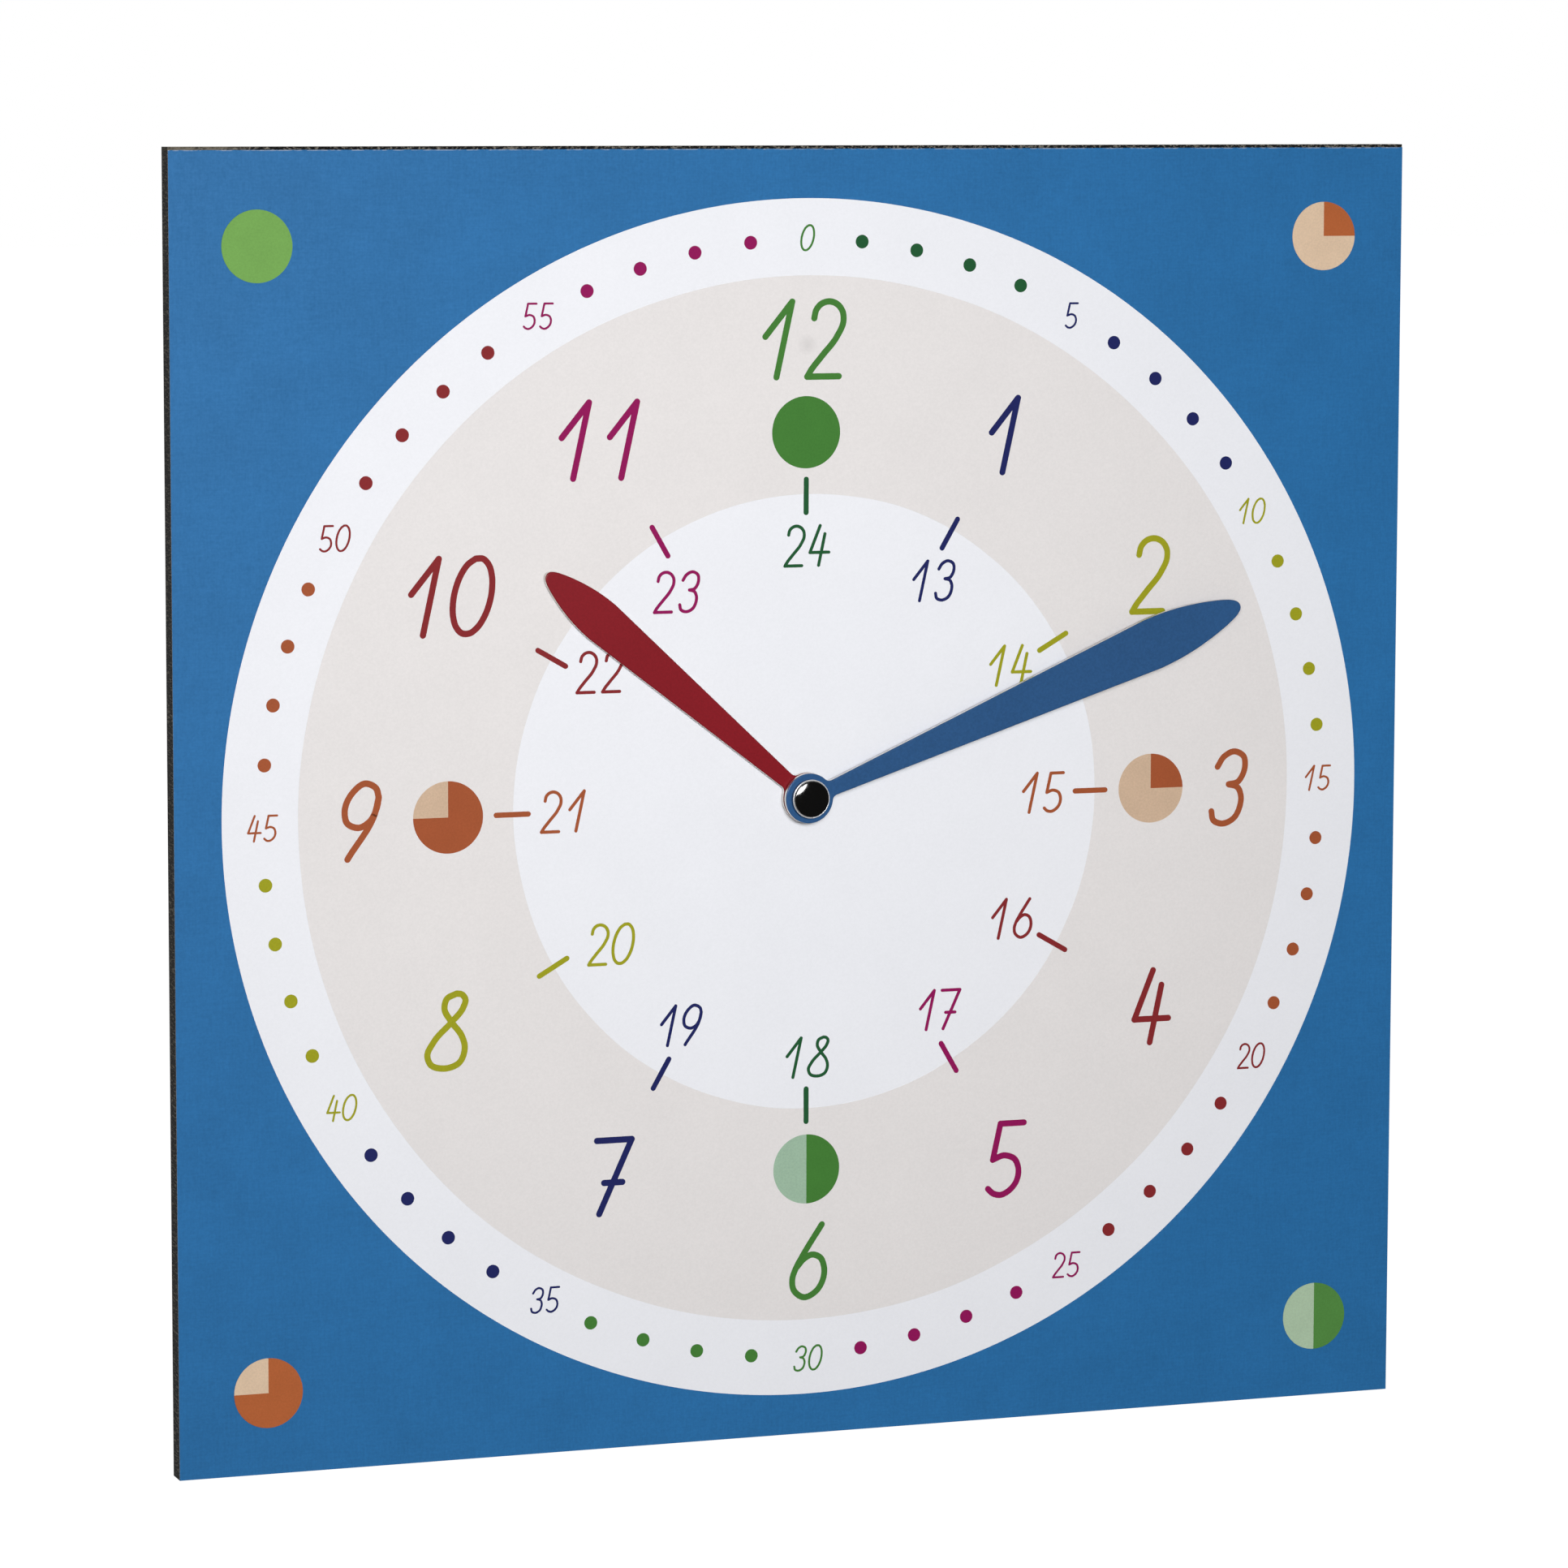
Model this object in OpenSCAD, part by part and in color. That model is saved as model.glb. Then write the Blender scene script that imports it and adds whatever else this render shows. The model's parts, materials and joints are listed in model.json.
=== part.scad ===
// Teaching wall clock: a square printed board with two hands on a quartz movement.
// The clock faces -Y and +Z is up. The origin is the centre of the hanging hole, on the wall plane.
// Inside the modules, x and z are measured from the hand arbor and depth runs from the board's back
// face towards the wall, so the dial has negative depth.

/* [Board and dial] */
// Side of the square board
board_w = 300; // [240:1:400]
// Thickness of the board
board_t = 5.5; // [3:0.1:10]
// Thickness of the printed dial sheet
sheet_t = 0.25; // [0.1:0.05:0.6]
// Bare strip of board above the dial sheet
sheet_margin = 0.7; // [0:0.1:2]

/* [Hands] */
// Length of the minute hand, from the arbor to its tip
minute_len = 116; // [60:1:118]
// Distance from the arbor to the widest place of the minute hand
minute_wide_at = 92; // [30:1:96]
// Greatest width of the minute hand
minute_wide = 12.4; // [5:0.1:16]
// Direction of the minute hand, in degrees clockwise from 12
minute_angle = 68.8; // [0:0.1:360]
// Length of the hour hand, from the arbor to its tip
hour_len = 82.6; // [40:0.1:100]
// Distance from the arbor to the widest place of the hour hand
hour_wide_at = 65; // [20:0.5:80]
// Greatest width of the hour hand
hour_wide = 10; // [5:0.1:14]
// Direction of the hour hand, in degrees clockwise from 12
hour_angle = 310.3; // [0:0.1:360]
// Thickness of the hand sheet
hand_t = 1; // [0.3:0.05:1.2]
// Radius of the round hub of both hands
hub_r = 5.85; // [4.8:0.05:7.5]
// Width of a blade where it leaves its hub
neck_w = 3.4; // [2:0.1:5]
// Radius of the round between a blade and its hub
neck_fillet = 1.5; // [0.5:0.1:3]
// Free space between the dial and the hour hand
hour_gap = 0.3; // [0.3:0.1:3]
// Free space between the two hands
hands_gap = 0.7; // [0.5:0.1:4]

/* [Centre cap] */
// Radius of the bright bezel of the cap
bezel_r = 4.5; // [3.5:0.1:6]
// Height of the bezel
bezel_h = 1.25; // [1.1:0.05:3]
// Rise of the black dome above its seat in the bezel
dome_h = 1.2; // [0.6:0.1:2]

/* [Arbors] */
// Outer radius of the fixed bush in the board
bush_r = 4; // [3.6:0.1:5]
// Outer radius of the hour pipe
pipe_r = 2.5; // [2.3:0.05:3]
// Outer radius of the minute arbor
minute_r = 1.6; // [1.5:0.05:2]
// Radius of the second arbor
second_r = 0.55; // [0.4:0.05:0.7]
// Running clearance between a shaft and its hole, on the radius
running = 0.05; // [0.02:0.01:0.1]
// Seat clearance of a pressed piece, on the radius
pressed = 0.01; // [0:0.005:0.02]

/* [Gear train] */
// Distance between the hand arbor and the minute wheel
motion_cd = 8.5; // [8.3:0.1:9.4]
// Distance between the hand arbor and the third wheel
third_cd = 10; // [9.6:0.1:10.4]
// Distance between the hand arbor and the intermediate wheel
inter_cd = 10; // [9.8:0.1:10.8]
// Distance between the intermediate wheel and the rotor
rotor_cd = 7.5; // [7:0.1:8]
// Thickness of the wheels of the going train
wheel_t = 0.8; // [0.5:0.05:1]
// Thickness of the wheels that turn the hands
motion_t = 1; // [0.8:0.05:1.1]

/* [Movement case] */
// Side of the square movement case
case_w = 56; // [56:1:80]
// Depth of the case, from the board to the wall
case_depth = 17.5; // [17.5:0.1:24]
// Thickness of the plate that lies on the board
plate_t = 1.6; // [1.4:0.1:1.8]
// Thickness of the case walls
wall_t = 1.4; // [1:0.1:2]
// Thickness of the rear cover
cover_t = 1.5; // [1.3:0.1:1.8]
// Radius of the setting knob
knob_r = 5.6; // [4:0.1:7]
// Reach of each fixing ear beyond the case
ear_reach = 9; // [8:0.5:14]

/* [Hanger] */
// Radius of the hanging hole
hang_r = 4; // [2.5:0.1:5]
// Thickness of the hanger plate
hanger_t = 3; // [2:0.1:4]
// Band of plate left round the hanging hole
hanger_band = 3; // [2:0.1:5]

/* [Battery] */
// Diameter of the round cell
cell_d = 14.5; // [10.5:0.1:14.6]
// Overall length of the cell, with its positive tip
cell_len = 50.5; // [44.5:0.1:50.6]

/* [Hidden] */
$fn = 64;

// General clearances and small overlaps for cutting
gap = 0.25;
fit = 0.15;
cut = 1;

// Depth of the faces in front of the board, from the dial towards the viewer
dial_y = -board_t - sheet_t;
hour_hand_y = [dial_y - hour_gap - hand_t, dial_y - hour_gap];
minute_hand_y = [hour_hand_y[0] - hands_gap - hand_t, hour_hand_y[0] - hands_gap];
pipe_proud = 0.2;
pipe_tip_y = hour_hand_y[0] - pipe_proud;
bezel_y = [minute_hand_y[0] - bezel_h, minute_hand_y[0]];
dome_seat = 0.3;
bezel_floor = 0.25;
spigot_r = minute_r - 0.2;
spigot_tip_y = bezel_y[0] + dome_seat + bezel_floor + pressed;
dome_rim = 0.3;

// Tooth counts of each pair, driver first
motion_teeth = [12, 36];
hour_teeth = [10, 40];
third_teeth = [8, 60];
centre_teeth = [8, 64];
second_teeth = [12, 60];
rotor_teeth = [10, 60];
setting_teeth = 16;

// Modules, from the centre distances
motion_m = 2 * motion_cd / (motion_teeth[0] + motion_teeth[1]);
hour_m = 2 * motion_cd / (hour_teeth[0] + hour_teeth[1]);
third_m = 2 * third_cd / (third_teeth[0] + third_teeth[1]);
centre_m = 2 * third_cd / (centre_teeth[0] + centre_teeth[1]);
second_m = 2 * inter_cd / (second_teeth[0] + second_teeth[1]);
rotor_m = 2 * rotor_cd / (rotor_teeth[0] + rotor_teeth[1]);
setting_cd = motion_m * (motion_teeth[1] + setting_teeth) / 2;

// Directions from each axis to the next, in degrees from +X towards +Z
motion_dir = -20;
setting_dir = 30;
third_dir = 160;
inter_dir = 85;
rotor_dir = 25;
function polar(r, a) = [r * cos(a), r * sin(a)];
motion_pos = polar(motion_cd, motion_dir);
setting_pos = motion_pos + polar(setting_cd, setting_dir);
third_pos = polar(third_cd, third_dir);
inter_pos = polar(inter_cd, inter_dir);
rotor_pos = inter_pos + polar(rotor_cd, rotor_dir);

// Tooth form: pinions are shifted outwards and wheels inwards by the same amount
pressure = 20;
shift = 0.5;
pinion_addendum = 1.2;
root_clearance = 0.25;
thinning = 0.02;
flank_steps = 2;

// Depth of the wheels inside the case, from the board towards the wall
pinion_side = 0.2;
flange_t = 0.8;
hour_wheel_y = [plate_t + flange_t + gap, plate_t + flange_t + gap + motion_t];
minute_wheel_y = [hour_wheel_y[1] + 2 * gap, hour_wheel_y[1] + 2 * gap + motion_t];
cannon_y = [minute_wheel_y[0] - pinion_side, minute_wheel_y[1] + pinion_side];
spring_y = [cannon_y[1], cannon_y[1] + 0.5];
centre_y = [spring_y[1] + pressed, spring_y[1] + pressed + wheel_t];
collar_y = [centre_y[1] + 0.1, centre_y[1] + 0.1 + wheel_t];
second_pinion_y = [collar_y[1] + gap, collar_y[1] + gap + wheel_t + 2 * pinion_side];
third_y = [second_pinion_y[0] + pinion_side, second_pinion_y[1] - pinion_side];
second_y = [second_pinion_y[1] + gap, second_pinion_y[1] + gap + wheel_t];
inter_y = [second_y[1] + 3 * pinion_side, second_y[1] + 3 * pinion_side + wheel_t];
bridge_t = 1.2;
bridge_y = [inter_y[1] + 3 * pinion_side, inter_y[1] + 3 * pinion_side + bridge_t];
cover_y = [case_depth - cover_t, case_depth];

// Going train arbors and their bosses on the case plate
arbor_r = 0.45;
pivot_depth = 1;
boss_r = 1.4;
third_boss_y = cannon_y[1];
inter_boss_y = cannon_y[1];
rotor_boss_y = centre_y[1];
motion_post_r = 0.8;
setting_r = 1.2;
setting_pivot_r = 0.8;
setting_boss_y = hour_wheel_y[1];
clutch_r = minute_r - 0.35;

// Inside of the case
case_half = case_w / 2;
inner_half = case_half - wall_t;
case_corner_r = 3;
inner_corner_r = case_corner_r - wall_t;
cell_r = cell_d / 2;
cell_play = 0.25;
bay_z = [-inner_half, -inner_half + cell_d + 2 * cell_play];
train_z = [bay_z[1] + wall_t, inner_half];
contact_room = 1.35;
bay_half = cell_len / 2 + contact_room;
cell_pos = [plate_t + cell_play + cell_r, (bay_z[0] + bay_z[1]) / 2];

// Posts that carry the bridge, and the plate's outline through them
post_r = 1.8;
post_pos = [[-21.5, 8], [-6, 18], [15.2, 17.5], [17.5, -6.5]];
bridge_pad_r = 2.2;
bridge_outline = [
    post_pos[0], post_pos[1], post_pos[2], setting_pos + [2.2, 0], post_pos[3], third_pos - [2, 8]
];

// Lavet motor
stator_t = 0.8;
stator_y = [rotor_boss_y + 1.1, rotor_boss_y + 1.1 + stator_t];
core_y = [stator_y[1], stator_y[1] + stator_t];
stator_z = [4.6, train_z[1] - 0.4];
stator_bar = 4;
stator_arm = 3.2;
stator_ring = 5.2;
magnet_r = 3;
magnet_air = 0.5;
magnet_y = [rotor_boss_y + 0.3, stator_y[1] + 0.8];
coil_x = 22.2;
coil_axis_y = (core_y[0] + core_y[1]) / 2;
bobbin_z = [stator_z[0] + stator_arm + 0.6, stator_z[1] - stator_arm - 0.6];
bobbin_flange_r = 3.8;
bobbin_flange_t = 0.8;
bobbin_r = 2.6;
winding_r = 3.4;
coil_post_r = 1.3;
coil_post_z = [stator_z[0] + stator_arm / 2, stator_z[1] - stator_arm / 2];

// Circuit board
circuit_x = [-22, 16];
circuit_z = [train_z[1] - 6.3, train_z[1] - 0.3];
circuit_y = [plate_t + 1.4, plate_t + 2.4];
circuit_mid = (circuit_z[0] + circuit_z[1]) / 2;
circuit_posts = [-18, 10];
circuit_post_r = 1.5;
chip_r = 2.4;
chip_h = 1.2;
chip_x = -10;
crystal_r = 1;
crystal_x = [-3, 3];

// Battery contacts
contact_t = 0.3;
contact_w = 8;
contact_x = [bay_half - 0.1 - contact_t, bay_half - 0.1];
contact_bow = 5.15;
tip_r = 2.75;
tip_h = 1;
touch = 0.1;
tail_y = [plate_t + 0.4, plate_t + 3];
tail_way = 0.8;
tail_z = [circuit_z[0] + 0.5, circuit_z[0] + 2.5];

// Small screws, with their heads on the wall side
screw_r = 0.8;
screw_head_r = 1.5;
screw_head_t = 0.8;
screw_bite = 4;

// Fixing ears and the screws that hold the movement on the board
ear_t = 2.5;
ear_r = 4.5;
ear_x = case_half + ear_reach - ear_r;
wood_r = 1.4;
wood_head_r = 2.8;
wood_head_t = 1.8;
wood_bite = board_t - 1.5;
wood_clear = 0.2;

// Hanger
hanger_r = hang_r + hanger_band;
hanger_z = case_half + hanger_r + 0.5;
hanger_y = [case_depth - hanger_t, case_depth];
leg_x = 4.5;
leg_w = 3;
leg_t = hanger_t - cover_t - 0.3;
leg_drop = wall_t + 1.2;

// Snap tongues of the rear cover, in slots of the side walls
tongue_z = [8, 14];
tongue_y = [cover_y[0] + 0.2, cover_y[0] + 1];
tongue_reach = 0.6;
ledge = 2.2;
rib_x = 20;
rib_z = 1.6;

// Setting knob
knob_y = [cover_y[0] - 1.4, case_depth - 0.4];
knob_clear = 0.6;
knob_grooves = 20;
knob_groove_r = 0.45;

// Marks sunk into the rear cover
mark_w = 0.8;
mark_deep = 0.4;
arrow_r = knob_r + knob_clear + 1.9;
arrow_from = 150;
arrow_to = 30;
arrow_step = 10;
arrow_head = 16;
sign_w = 3.2;

// Places a piece drawn from the arbor into the frame of the hanging hole
module hung() {
    translate([0, -case_depth, -hanger_z]) children();
}

// Raises a flat outline, drawn as seen from the front, between two depths
module slab(y) {
    translate([0, y[1], 0]) rotate([90, 0, 0]) linear_extrude(y[1] - y[0]) children();
}

// Moves a piece to a place on the face plane
module at(p) {
    translate([p[0], 0, p[1]]) children();
}

module ring(r_out, r_in) {
    difference() {
        circle(r_out);
        circle(r_in);
    }
}

module rounded_square(w, r) {
    square([w - 2 * r, w], center = true);
    square([w, w - 2 * r], center = true);
    for (x = [-1, 1], z = [-1, 1]) {
        translate([x, z] * (w / 2 - r)) circle(r);
    }
}

// Rectangle between two ranges of x and z
module panel(x, z) {
    translate([x[0], z[0]]) square([x[1] - x[0], z[1] - z[0]]);
}

// Involute of an angle, in degrees
function involute(a) = tan(a) * 180 / PI - a;

// Half of a tooth's angle at radius r, for n teeth of module m shifted by x
function tooth_half(n, m, x, r) =
    let (rp = n * m / 2, rb = rp * cos(pressure), a = r > rb ? acos(rb / r) : 0)
    90 / n + (2 * x * tan(pressure) / n - thinning / rp) * 180 / PI + involute(pressure) - involute(a);

// Outline of a gear with a tooth centred on the angle phase; addendum is in modules
function gear_points(n, m, x, addendum, phase) =
    let (
        rp = n * m / 2,
        root = rp - m * (1 + root_clearance - x),
        tip = rp + m * addendum,
        start = max(root, rp * cos(pressure)),
        flank = [for (k = [0 : flank_steps]) start + (tip - start) * k / flank_steps],
        radii = root < start - 0.001 ? concat([root], flank) : flank,
        count = len(radii)
    )
    [
        for (i = [0 : n - 1], side = [-1, 1], k = [0 : count - 1])
            let (r = side < 0 ? radii[k] : radii[count - 1 - k])
            polar(r, phase + 360 * i / n + side * tooth_half(n, m, x, r))
    ];

module pinion(n, m, phase) {
    polygon(gear_points(n, m, shift, pinion_addendum, phase));
}

module wheel(n, m, phase) {
    polygon(gear_points(n, m, -shift, 1 - shift, phase));
}

// Phase of gear 2 that puts it in mesh with gear 1, where dir is the direction from 1 to 2
function meshed(dir, n1, phase1, n2) = dir + 180 - 360 / n2 * (0.5 - (dir - phase1) * n1 / 360);

cannon_phase = 0;
minute_wheel_phase = meshed(motion_dir, motion_teeth[0], cannon_phase, motion_teeth[1]);
minute_pinion_phase = 0;
hour_wheel_phase = meshed(motion_dir + 180, hour_teeth[0], minute_pinion_phase, hour_teeth[1]);
setting_phase = meshed(setting_dir, motion_teeth[1], minute_wheel_phase, setting_teeth);
second_pinion_phase = 0;
third_phase = meshed(third_dir, third_teeth[0], second_pinion_phase, third_teeth[1]);
third_pinion_phase = 0;
centre_phase = meshed(third_dir + 180, centre_teeth[0], third_pinion_phase, centre_teeth[1]);
inter_pinion_phase = 0;
second_phase = meshed(inter_dir + 180, second_teeth[0], inter_pinion_phase, second_teeth[1]);
rotor_phase = 0;
inter_phase = meshed(rotor_dir + 180, rotor_teeth[0], rotor_phase, rotor_teeth[1]);

// Outline of a hand that points up: a round out of the hub, a straight taper, then a leaf-shaped tip.
// The round is an arc that touches the straight edge and starts just inside the hub's circle.
// The power that narrows the tip falls off towards its end, so that the end is round.
tip_power = 1.44;
tip_blunt = 0.44;
tip_step = 6;
fillet_steps = 6;
fillet_sunk = 0.05;
function neck_round(wide_at, wide) =
    let (
        tilt = atan((wide - neck_w) / 2 / (wide_at - hub_r / 2)),
        across = [cos(tilt), -sin(tilt)],
        along = [sin(tilt), cos(tilt)],
        aside = [neck_w / 2, hub_r / 2] * across + neck_fillet,
        apart = hub_r - fillet_sunk + neck_fillet,
        centre = aside * across + sqrt(apart * apart - aside * aside) * along,
        from = 180 + atan2(centre[1], centre[0]),
        swing = 180 - tilt - from
    )
    [for (i = [0 : fillet_steps]) centre + polar(neck_fillet, from + swing * i / fillet_steps)];
function blade_side(len, wide_at, wide) = concat(
    [[neck_w / 2, hub_r / 2]],
    neck_round(wide_at, wide),
    [
        for (t = [0 : tip_step : 90])
            let (power = tip_power - tip_blunt * pow(sin(t), 4))
            [wide / 2 * pow(cos(t), power), wide_at + (len - wide_at) * sin(t)]
    ]
);
function mirrored(points) = [for (i = [len(points) - 2 : -1 : 0]) [-points[i][0], points[i][1]]];
function blade(len, wide_at, wide) =
    let (side = blade_side(len, wide_at, wide))
    concat(side, mirrored(side));

module hand(y, len, wide_at, wide, angle, bore) {
    slab(y) difference() {
        union() {
            rotate(-angle) polygon(blade(len, wide_at, wide));
            circle(hub_r);
        }
        circle(bore);
    }
}

module board() {
    color("#2b2a27") hung() difference() {
        slab([-board_t, 0]) difference() {
            square(board_w, center = true);
            circle(bush_r + gap);
        }
        for (side = [-1, 1]) {
            at([side * ear_x, 0]) slab([-wood_bite - fit, cut]) circle(wood_r + pressed);
        }
    }
}

module dial_sheet() {
    color("#2f6ba4") hung() slab([dial_y, -board_t]) difference() {
        panel([-board_w / 2, board_w / 2], [-board_w / 2, board_w / 2 - sheet_margin]);
        circle(bush_r + gap);
    }
}

module hour_hand() {
    color("#84202a") hung()
        hand(hour_hand_y, hour_len, hour_wide_at, hour_wide, hour_angle, pipe_r + pressed);
}

module minute_hand() {
    color("#2e5a88") hung()
        hand(minute_hand_y, minute_len, minute_wide_at, minute_wide, minute_angle, spigot_r + pressed);
}

module cap_bezel() {
    color("silver") hung() difference() {
        slab(bezel_y) circle(bezel_r);
        slab([bezel_y[0] - cut, bezel_y[0] + dome_seat]) circle(bezel_r - dome_rim);
        slab([bezel_y[0] + dome_seat + bezel_floor, bezel_y[1] + cut]) circle(spigot_r + pressed);
    }
}

module cap_dome() {
    base_r = bezel_r - dome_rim - pressed;
    ball_r = (base_r * base_r + dome_h * dome_h) / (2 * dome_h);
    seat_y = bezel_y[0] + dome_seat;
    color("#0c0b0a") hung() intersection() {
        translate([0, seat_y - dome_h + ball_r, 0]) sphere(ball_r, $fn = 200);
        slab([seat_y - dome_h - cut, seat_y]) circle(bezel_r);
    }
}

module shaft_bush() {
    color("#b59a55") hung() {
        slab([dial_y + 0.1, plate_t]) ring(bush_r, pipe_r + running);
        slab([plate_t, plate_t + flange_t]) ring(bush_r + 1, pipe_r + running);
    }
}

// Outline of the compartment that holds the gear train
module train_outline(inset) {
    x = inner_half - inset;
    z = train_z + [inset, -inset];
    r = inner_corner_r;
    panel([-x, x], [z[0], z[1] - r]);
    panel([-x + r, x - r], [z[0], z[1]]);
    for (side = [-1, 1]) {
        translate([side * (x - r), z[1] - r]) circle(r);
    }
}

module case_shell() {
    difference() {
        slab([0, case_depth]) rounded_square(case_w, case_corner_r);
        slab([plate_t, case_depth + cut]) train_outline(0);
        slab([plate_t, case_depth + cut]) panel([-bay_half, bay_half], bay_z);
        // Finger notch under the cell
        slab([cell_pos[0], case_depth + cut]) panel([-cell_r, cell_r], [-case_half - cut, bay_z[0] + cut]);
        for (side = [-1, 1]) {
            // Ways for the contact tails through the partition
            slab([plate_t, tail_y[1] + gap]) translate([side * (bay_half - tail_way / 2), 0])
                panel([-tail_way / 2, tail_way / 2], [bay_z[1] - cut, train_z[0] + cut]);
            // Snap slots for the cover's tongues
            slab(tongue_y + [-0.1, 0.1]) translate([side * inner_half, 0])
                panel([-tongue_reach - fit, tongue_reach + fit], tongue_z + [-0.1, 0.1]);
            // Slots for the hanger's legs
            slab([hanger_y[0] - 0.1, hanger_y[0] + leg_t + 0.1]) translate([side * leg_x, 0])
                panel([-leg_w / 2 - 0.1, leg_w / 2 + 0.1], [inner_half - cut, case_half + cut]);
        }
    }
}

module case_bosses() {
    slab([0, third_boss_y]) translate(third_pos) circle(boss_r);
    slab([0, inter_boss_y]) translate(inter_pos) circle(boss_r);
    slab([0, rotor_boss_y]) translate(rotor_pos) circle(boss_r);
    slab([0, setting_boss_y]) translate(setting_pos) circle(boss_r + 0.4);
    slab([0, minute_wheel_y[1] + gap]) translate(motion_pos) circle(motion_post_r);
    for (p = post_pos) {
        slab([0, bridge_y[0]]) translate(p) circle(post_r);
    }
    for (z = coil_post_z) {
        slab([0, stator_y[0]]) translate([coil_x, z]) circle(coil_post_r);
    }
    for (x = circuit_posts) {
        slab([0, circuit_y[0]]) translate([x, circuit_mid]) circle(circuit_post_r);
    }
    for (side = [-1, 1]) {
        // Ledges that carry the rear cover
        slab([0, cover_y[0]]) translate([side * inner_half, train_z[1]])
            square(2 * ledge, center = true);
        slab([0, cover_y[0]]) translate([side * rib_x, train_z[0]])
            square([ledge, 2 * rib_z], center = true);
        // Saddles under the cell
        difference() {
            slab([0, cell_pos[0] - cell_r / 2]) translate([side * cell_len / 4, cell_pos[1]])
                square([1.2, bay_z[1] - bay_z[0] + 0.2], center = true);
            translate([-case_w, cell_pos[0], cell_pos[1]]) rotate([0, 90, 0])
                cylinder(r = cell_r + cell_play, h = 2 * case_w);
        }
    }
}

module case_ears() {
    for (side = [-1, 1]) {
        slab([0, ear_t]) {
            translate([side * ear_x, 0]) circle(ear_r);
            translate([side * (ear_x + case_half - wall_t) / 2, 0])
                square([ear_x - case_half + wall_t, 2 * ear_r], center = true);
        }
    }
}

// Blind hole for a pivot in a boss that ends at depth y
module pivot_hole(p, y, r) {
    slab([y - pivot_depth - fit, y + cut]) translate(p) circle(r + running);
}

module movement_case() {
    color("#1d1d1f") hung() difference() {
        union() {
            case_shell();
            intersection() {
                case_bosses();
                slab([0, case_depth]) square(2 * inner_half + wall_t, center = true);
            }
            case_ears();
        }
        slab([-cut, plate_t + cut]) circle(bush_r + pressed);
        pivot_hole(third_pos, third_boss_y, arbor_r);
        pivot_hole(inter_pos, inter_boss_y, arbor_r);
        pivot_hole(rotor_pos, rotor_boss_y, arbor_r);
        pivot_hole(setting_pos, setting_boss_y, setting_pivot_r);
        for (p = post_pos) {
            slab([bridge_y[0] - screw_bite - fit, bridge_y[0] + cut]) translate(p)
                circle(screw_r + pressed);
        }
        for (z = coil_post_z) {
            slab([stator_y[0] - screw_bite - fit, stator_y[0] + cut]) translate([coil_x, z])
                circle(screw_r + pressed);
        }
        for (side = [-1, 1]) {
            slab([-cut, ear_t + cut]) translate([side * ear_x, 0]) circle(wood_r + wood_clear);
        }
    }
}

// Arrow round the knob that shows which way it sets the hands forward
module set_arrow() {
    outer = arrow_r + mark_w / 2;
    inner = arrow_r - mark_w / 2;
    translate(setting_pos) {
        polygon(concat(
            [for (a = [arrow_from : -arrow_step : arrow_to]) polar(outer, a)],
            [for (a = [arrow_to : arrow_step : arrow_from]) polar(inner, a)]
        ));
        polygon([
            polar(arrow_r - 1.5 * mark_w, arrow_to + 2),
            polar(arrow_r + 1.5 * mark_w, arrow_to + 2),
            polar(arrow_r, arrow_to - arrow_head)
        ]);
    }
}

// Signs above the two ends of the cell
module cell_signs() {
    sign_z = train_z[0] + sign_w;
    translate([cell_len / 2 - sign_w, sign_z]) {
        square([sign_w, mark_w], center = true);
        square([mark_w, sign_w], center = true);
    }
    translate([-cell_len / 2 + sign_w, sign_z]) square([sign_w, mark_w], center = true);
}

module rear_cover() {
    color("#232325") hung() {
        difference() {
            slab(cover_y) difference() {
                train_outline(fit);
                translate(setting_pos) circle(knob_r + knob_clear);
            }
            slab([case_depth - mark_deep, case_depth + cut]) {
                set_arrow();
                cell_signs();
            }
        }
        for (side = [-1, 1]) {
            slab(tongue_y) translate([side * (inner_half - fit), 0])
                panel([-tongue_reach, tongue_reach], tongue_z);
        }
    }
}

module hanger_clip() {
    color("#1d1d1f") hung() {
        slab(hanger_y) difference() {
            union() {
                translate([0, hanger_z]) circle(hanger_r);
                panel([-hanger_r, hanger_r], [case_half, hanger_z]);
            }
            translate([0, hanger_z]) circle(hang_r);
        }
        for (side = [-1, 1]) {
            slab([hanger_y[0], hanger_y[0] + leg_t]) translate([side * leg_x, 0])
                panel([-leg_w / 2, leg_w / 2], [case_half - leg_drop, case_half + 0.5]);
        }
    }
}

// Screw with its head on the wall side of depth y and a conical tip
module screw(y, bite, r, head_r, head_t) {
    translate([0, y, 0]) rotate([-90, 0, 0]) {
        difference() {
            cylinder(r = head_r, h = head_t);
            translate([0, 0, head_t]) for (a = [0, 90]) {
                rotate(a) cube([1.4 * head_r, 0.25 * head_r, head_t], center = true);
            }
        }
        translate([0, 0, -bite + r]) cylinder(r = r, h = bite - r);
        translate([0, 0, -bite]) cylinder(r1 = 0.2 * r, r2 = r, h = r);
    }
}

module mounting_screws() {
    color("#b8bab8") hung() for (side = [-1, 1]) {
        at([side * ear_x, 0]) screw(ear_t, ear_t + wood_bite, wood_r, wood_head_r, wood_head_t);
    }
}

module train_bridge() {
    color("#e8e6df") hung() difference() {
        union() {
            slab(bridge_y) polygon(bridge_outline);
            for (p = post_pos) {
                slab(bridge_y) translate(p) circle(bridge_pad_r);
            }
        }
        slab(bridge_y + [-cut, cut]) {
            for (p = post_pos) {
                translate(p) circle(screw_r + fit);
            }
            circle(second_r + running);
            for (p = [third_pos, inter_pos, rotor_pos]) {
                translate(p) circle(arbor_r + running);
            }
            translate(setting_pos) circle(setting_r + running);
        }
    }
}

module bridge_screws() {
    color("#c9c9c4") hung() for (p = post_pos) {
        at(p) screw(bridge_y[1], bridge_t + screw_bite, screw_r, screw_head_r, screw_head_t);
    }
}

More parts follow.
